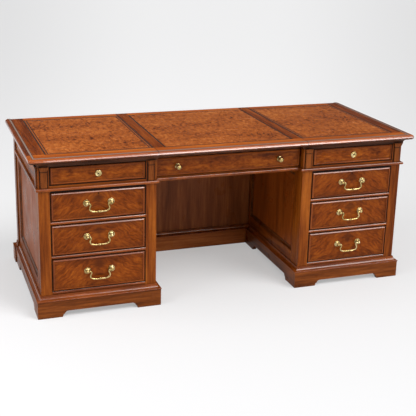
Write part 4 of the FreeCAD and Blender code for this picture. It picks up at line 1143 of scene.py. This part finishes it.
def area_lamp(name, place, target, width, height, watts):
    """Rectangular lamp."""
    data = bpy.data.lights.new(name, "AREA")
    data.shape = "RECTANGLE"
    data.size = width
    data.size_y = height
    data.energy = watts
    hang_lamp(name, data, place, target)


def sun_lamp(name, place, watts, spread):
    """Broad soft light that falls from the given side everywhere alike."""
    data = bpy.data.lights.new(name, "SUN")
    data.energy = watts
    data.angle = math.radians(spread)
    hang_lamp(name, data, place, (0.0, 0.0, 0.0))


def floor_paper(name):
    """Pale paper that glows a little more far off and fades to the sides; it still takes the shadow."""
    graph = Graph(name)
    place = graph.vector(graph.minus(graph.x, CAMERA_PLACE.x), graph.minus(graph.y, CAMERA_PLACE.y), 0.0)
    far = graph.dot(place, CAMERA_AHEAD)
    aside = graph.unsigned(graph.math("DIVIDE", graph.dot(place, CAMERA_LEVEL), far))
    fade = graph.times(graph.rise(aside, *SIDE_FADE_SLOPE), graph.rise(far, *SIDE_FADE_REACH))
    glow = graph.plus(graph.plus(FLOOR_GLOW, graph.rise(far, *FAR_GLOW_REACH), FAR_GLOW), fade, -SIDE_FADE)
    rays = graph.node("LightPath").outputs
    seen = graph.most(rays["Is Camera Ray"], rays["Is Glossy Ray"], rays["Is Transmission Ray"])
    return graph.finished({"Base Color": graph.mix(seen, FLOOR_LIT, FLOOR_SEEN),
                           "Emission Color": WHITE,
                           "Emission Strength": graph.times(glow, seen),
                           "Roughness": 0.8,
                           "Specular IOR Level": 0.1})


def make_floor():
    """Pale floor that runs on behind the desk."""
    half = FLOOR_HALF
    corners = [(-half, -half, 0), (half, -half, 0), (half, half, 0), (-half, half, 0)]
    mesh = bpy.data.meshes.new("floor")
    mesh.from_pydata(corners, [], [(0, 1, 2, 3)])
    mesh.materials.append(floor_paper("floor_paper"))
    floor = bpy.data.objects.new("floor", mesh)
    bpy.context.scene.collection.objects.link(floor)


def make_world():
    """Pale band at the horizon, a dark belt over it that the top mirrors, and light above."""
    world = bpy.data.worlds.new("studio")
    world.use_nodes = True
    tree = world.node_tree
    tree.nodes.clear()
    place = tree.nodes.new("ShaderNodeTexCoord")
    split = tree.nodes.new("ShaderNodeSeparateXYZ")
    climb = tree.nodes.new("ShaderNodeValToRGB")
    set_stops(climb.color_ramp, [(height, (light, light, light, 1.0)) for height, light in SKY_STOPS])
    around = tree.nodes.new("ShaderNodeBackground")
    output = tree.nodes.new("ShaderNodeOutputWorld")
    tree.links.new(place.outputs["Generated"], split.inputs[0])
    tree.links.new(split.outputs["Z"], climb.inputs[0])
    tree.links.new(climb.outputs["Color"], around.inputs["Color"])
    tree.links.new(around.outputs[0], output.inputs["Surface"])
    bpy.context.scene.world = world


def make_studio():
    bpy.context.scene.view_settings.view_transform = "Standard"
    make_world()
    sun_lamp("soft_box", (1.2, -1.2, 1.9), watts=2.1, spread=34.0)
    area_lamp("key_strip", (-0.2, -2.9, 3.3), DESK_MIDDLE, width=4.4, height=0.6, watts=40.0)
    area_lamp("front_strip", (2.07, -4.26, 1.07), NOSE_RIGHT, width=3.0, height=0.26, watts=44.0)
    area_lamp("front_left_strip", (0.02, -4.26, 1.07), NOSE_LEFT, width=1.1, height=0.26, watts=8.0)
    area_lamp("left_strip", (-3.4, -0.6, 3.1), DESK_MIDDLE, width=3.0, height=1.2, watts=100.0)
    make_floor()
    make_camera()


BRASS = brass_metal("aged_brass")
dress_top()
dress_pedestals()
dress_kneehole_and_back()
dress_drawers(BRASS)
make_pieces(BRASS)
make_studio()
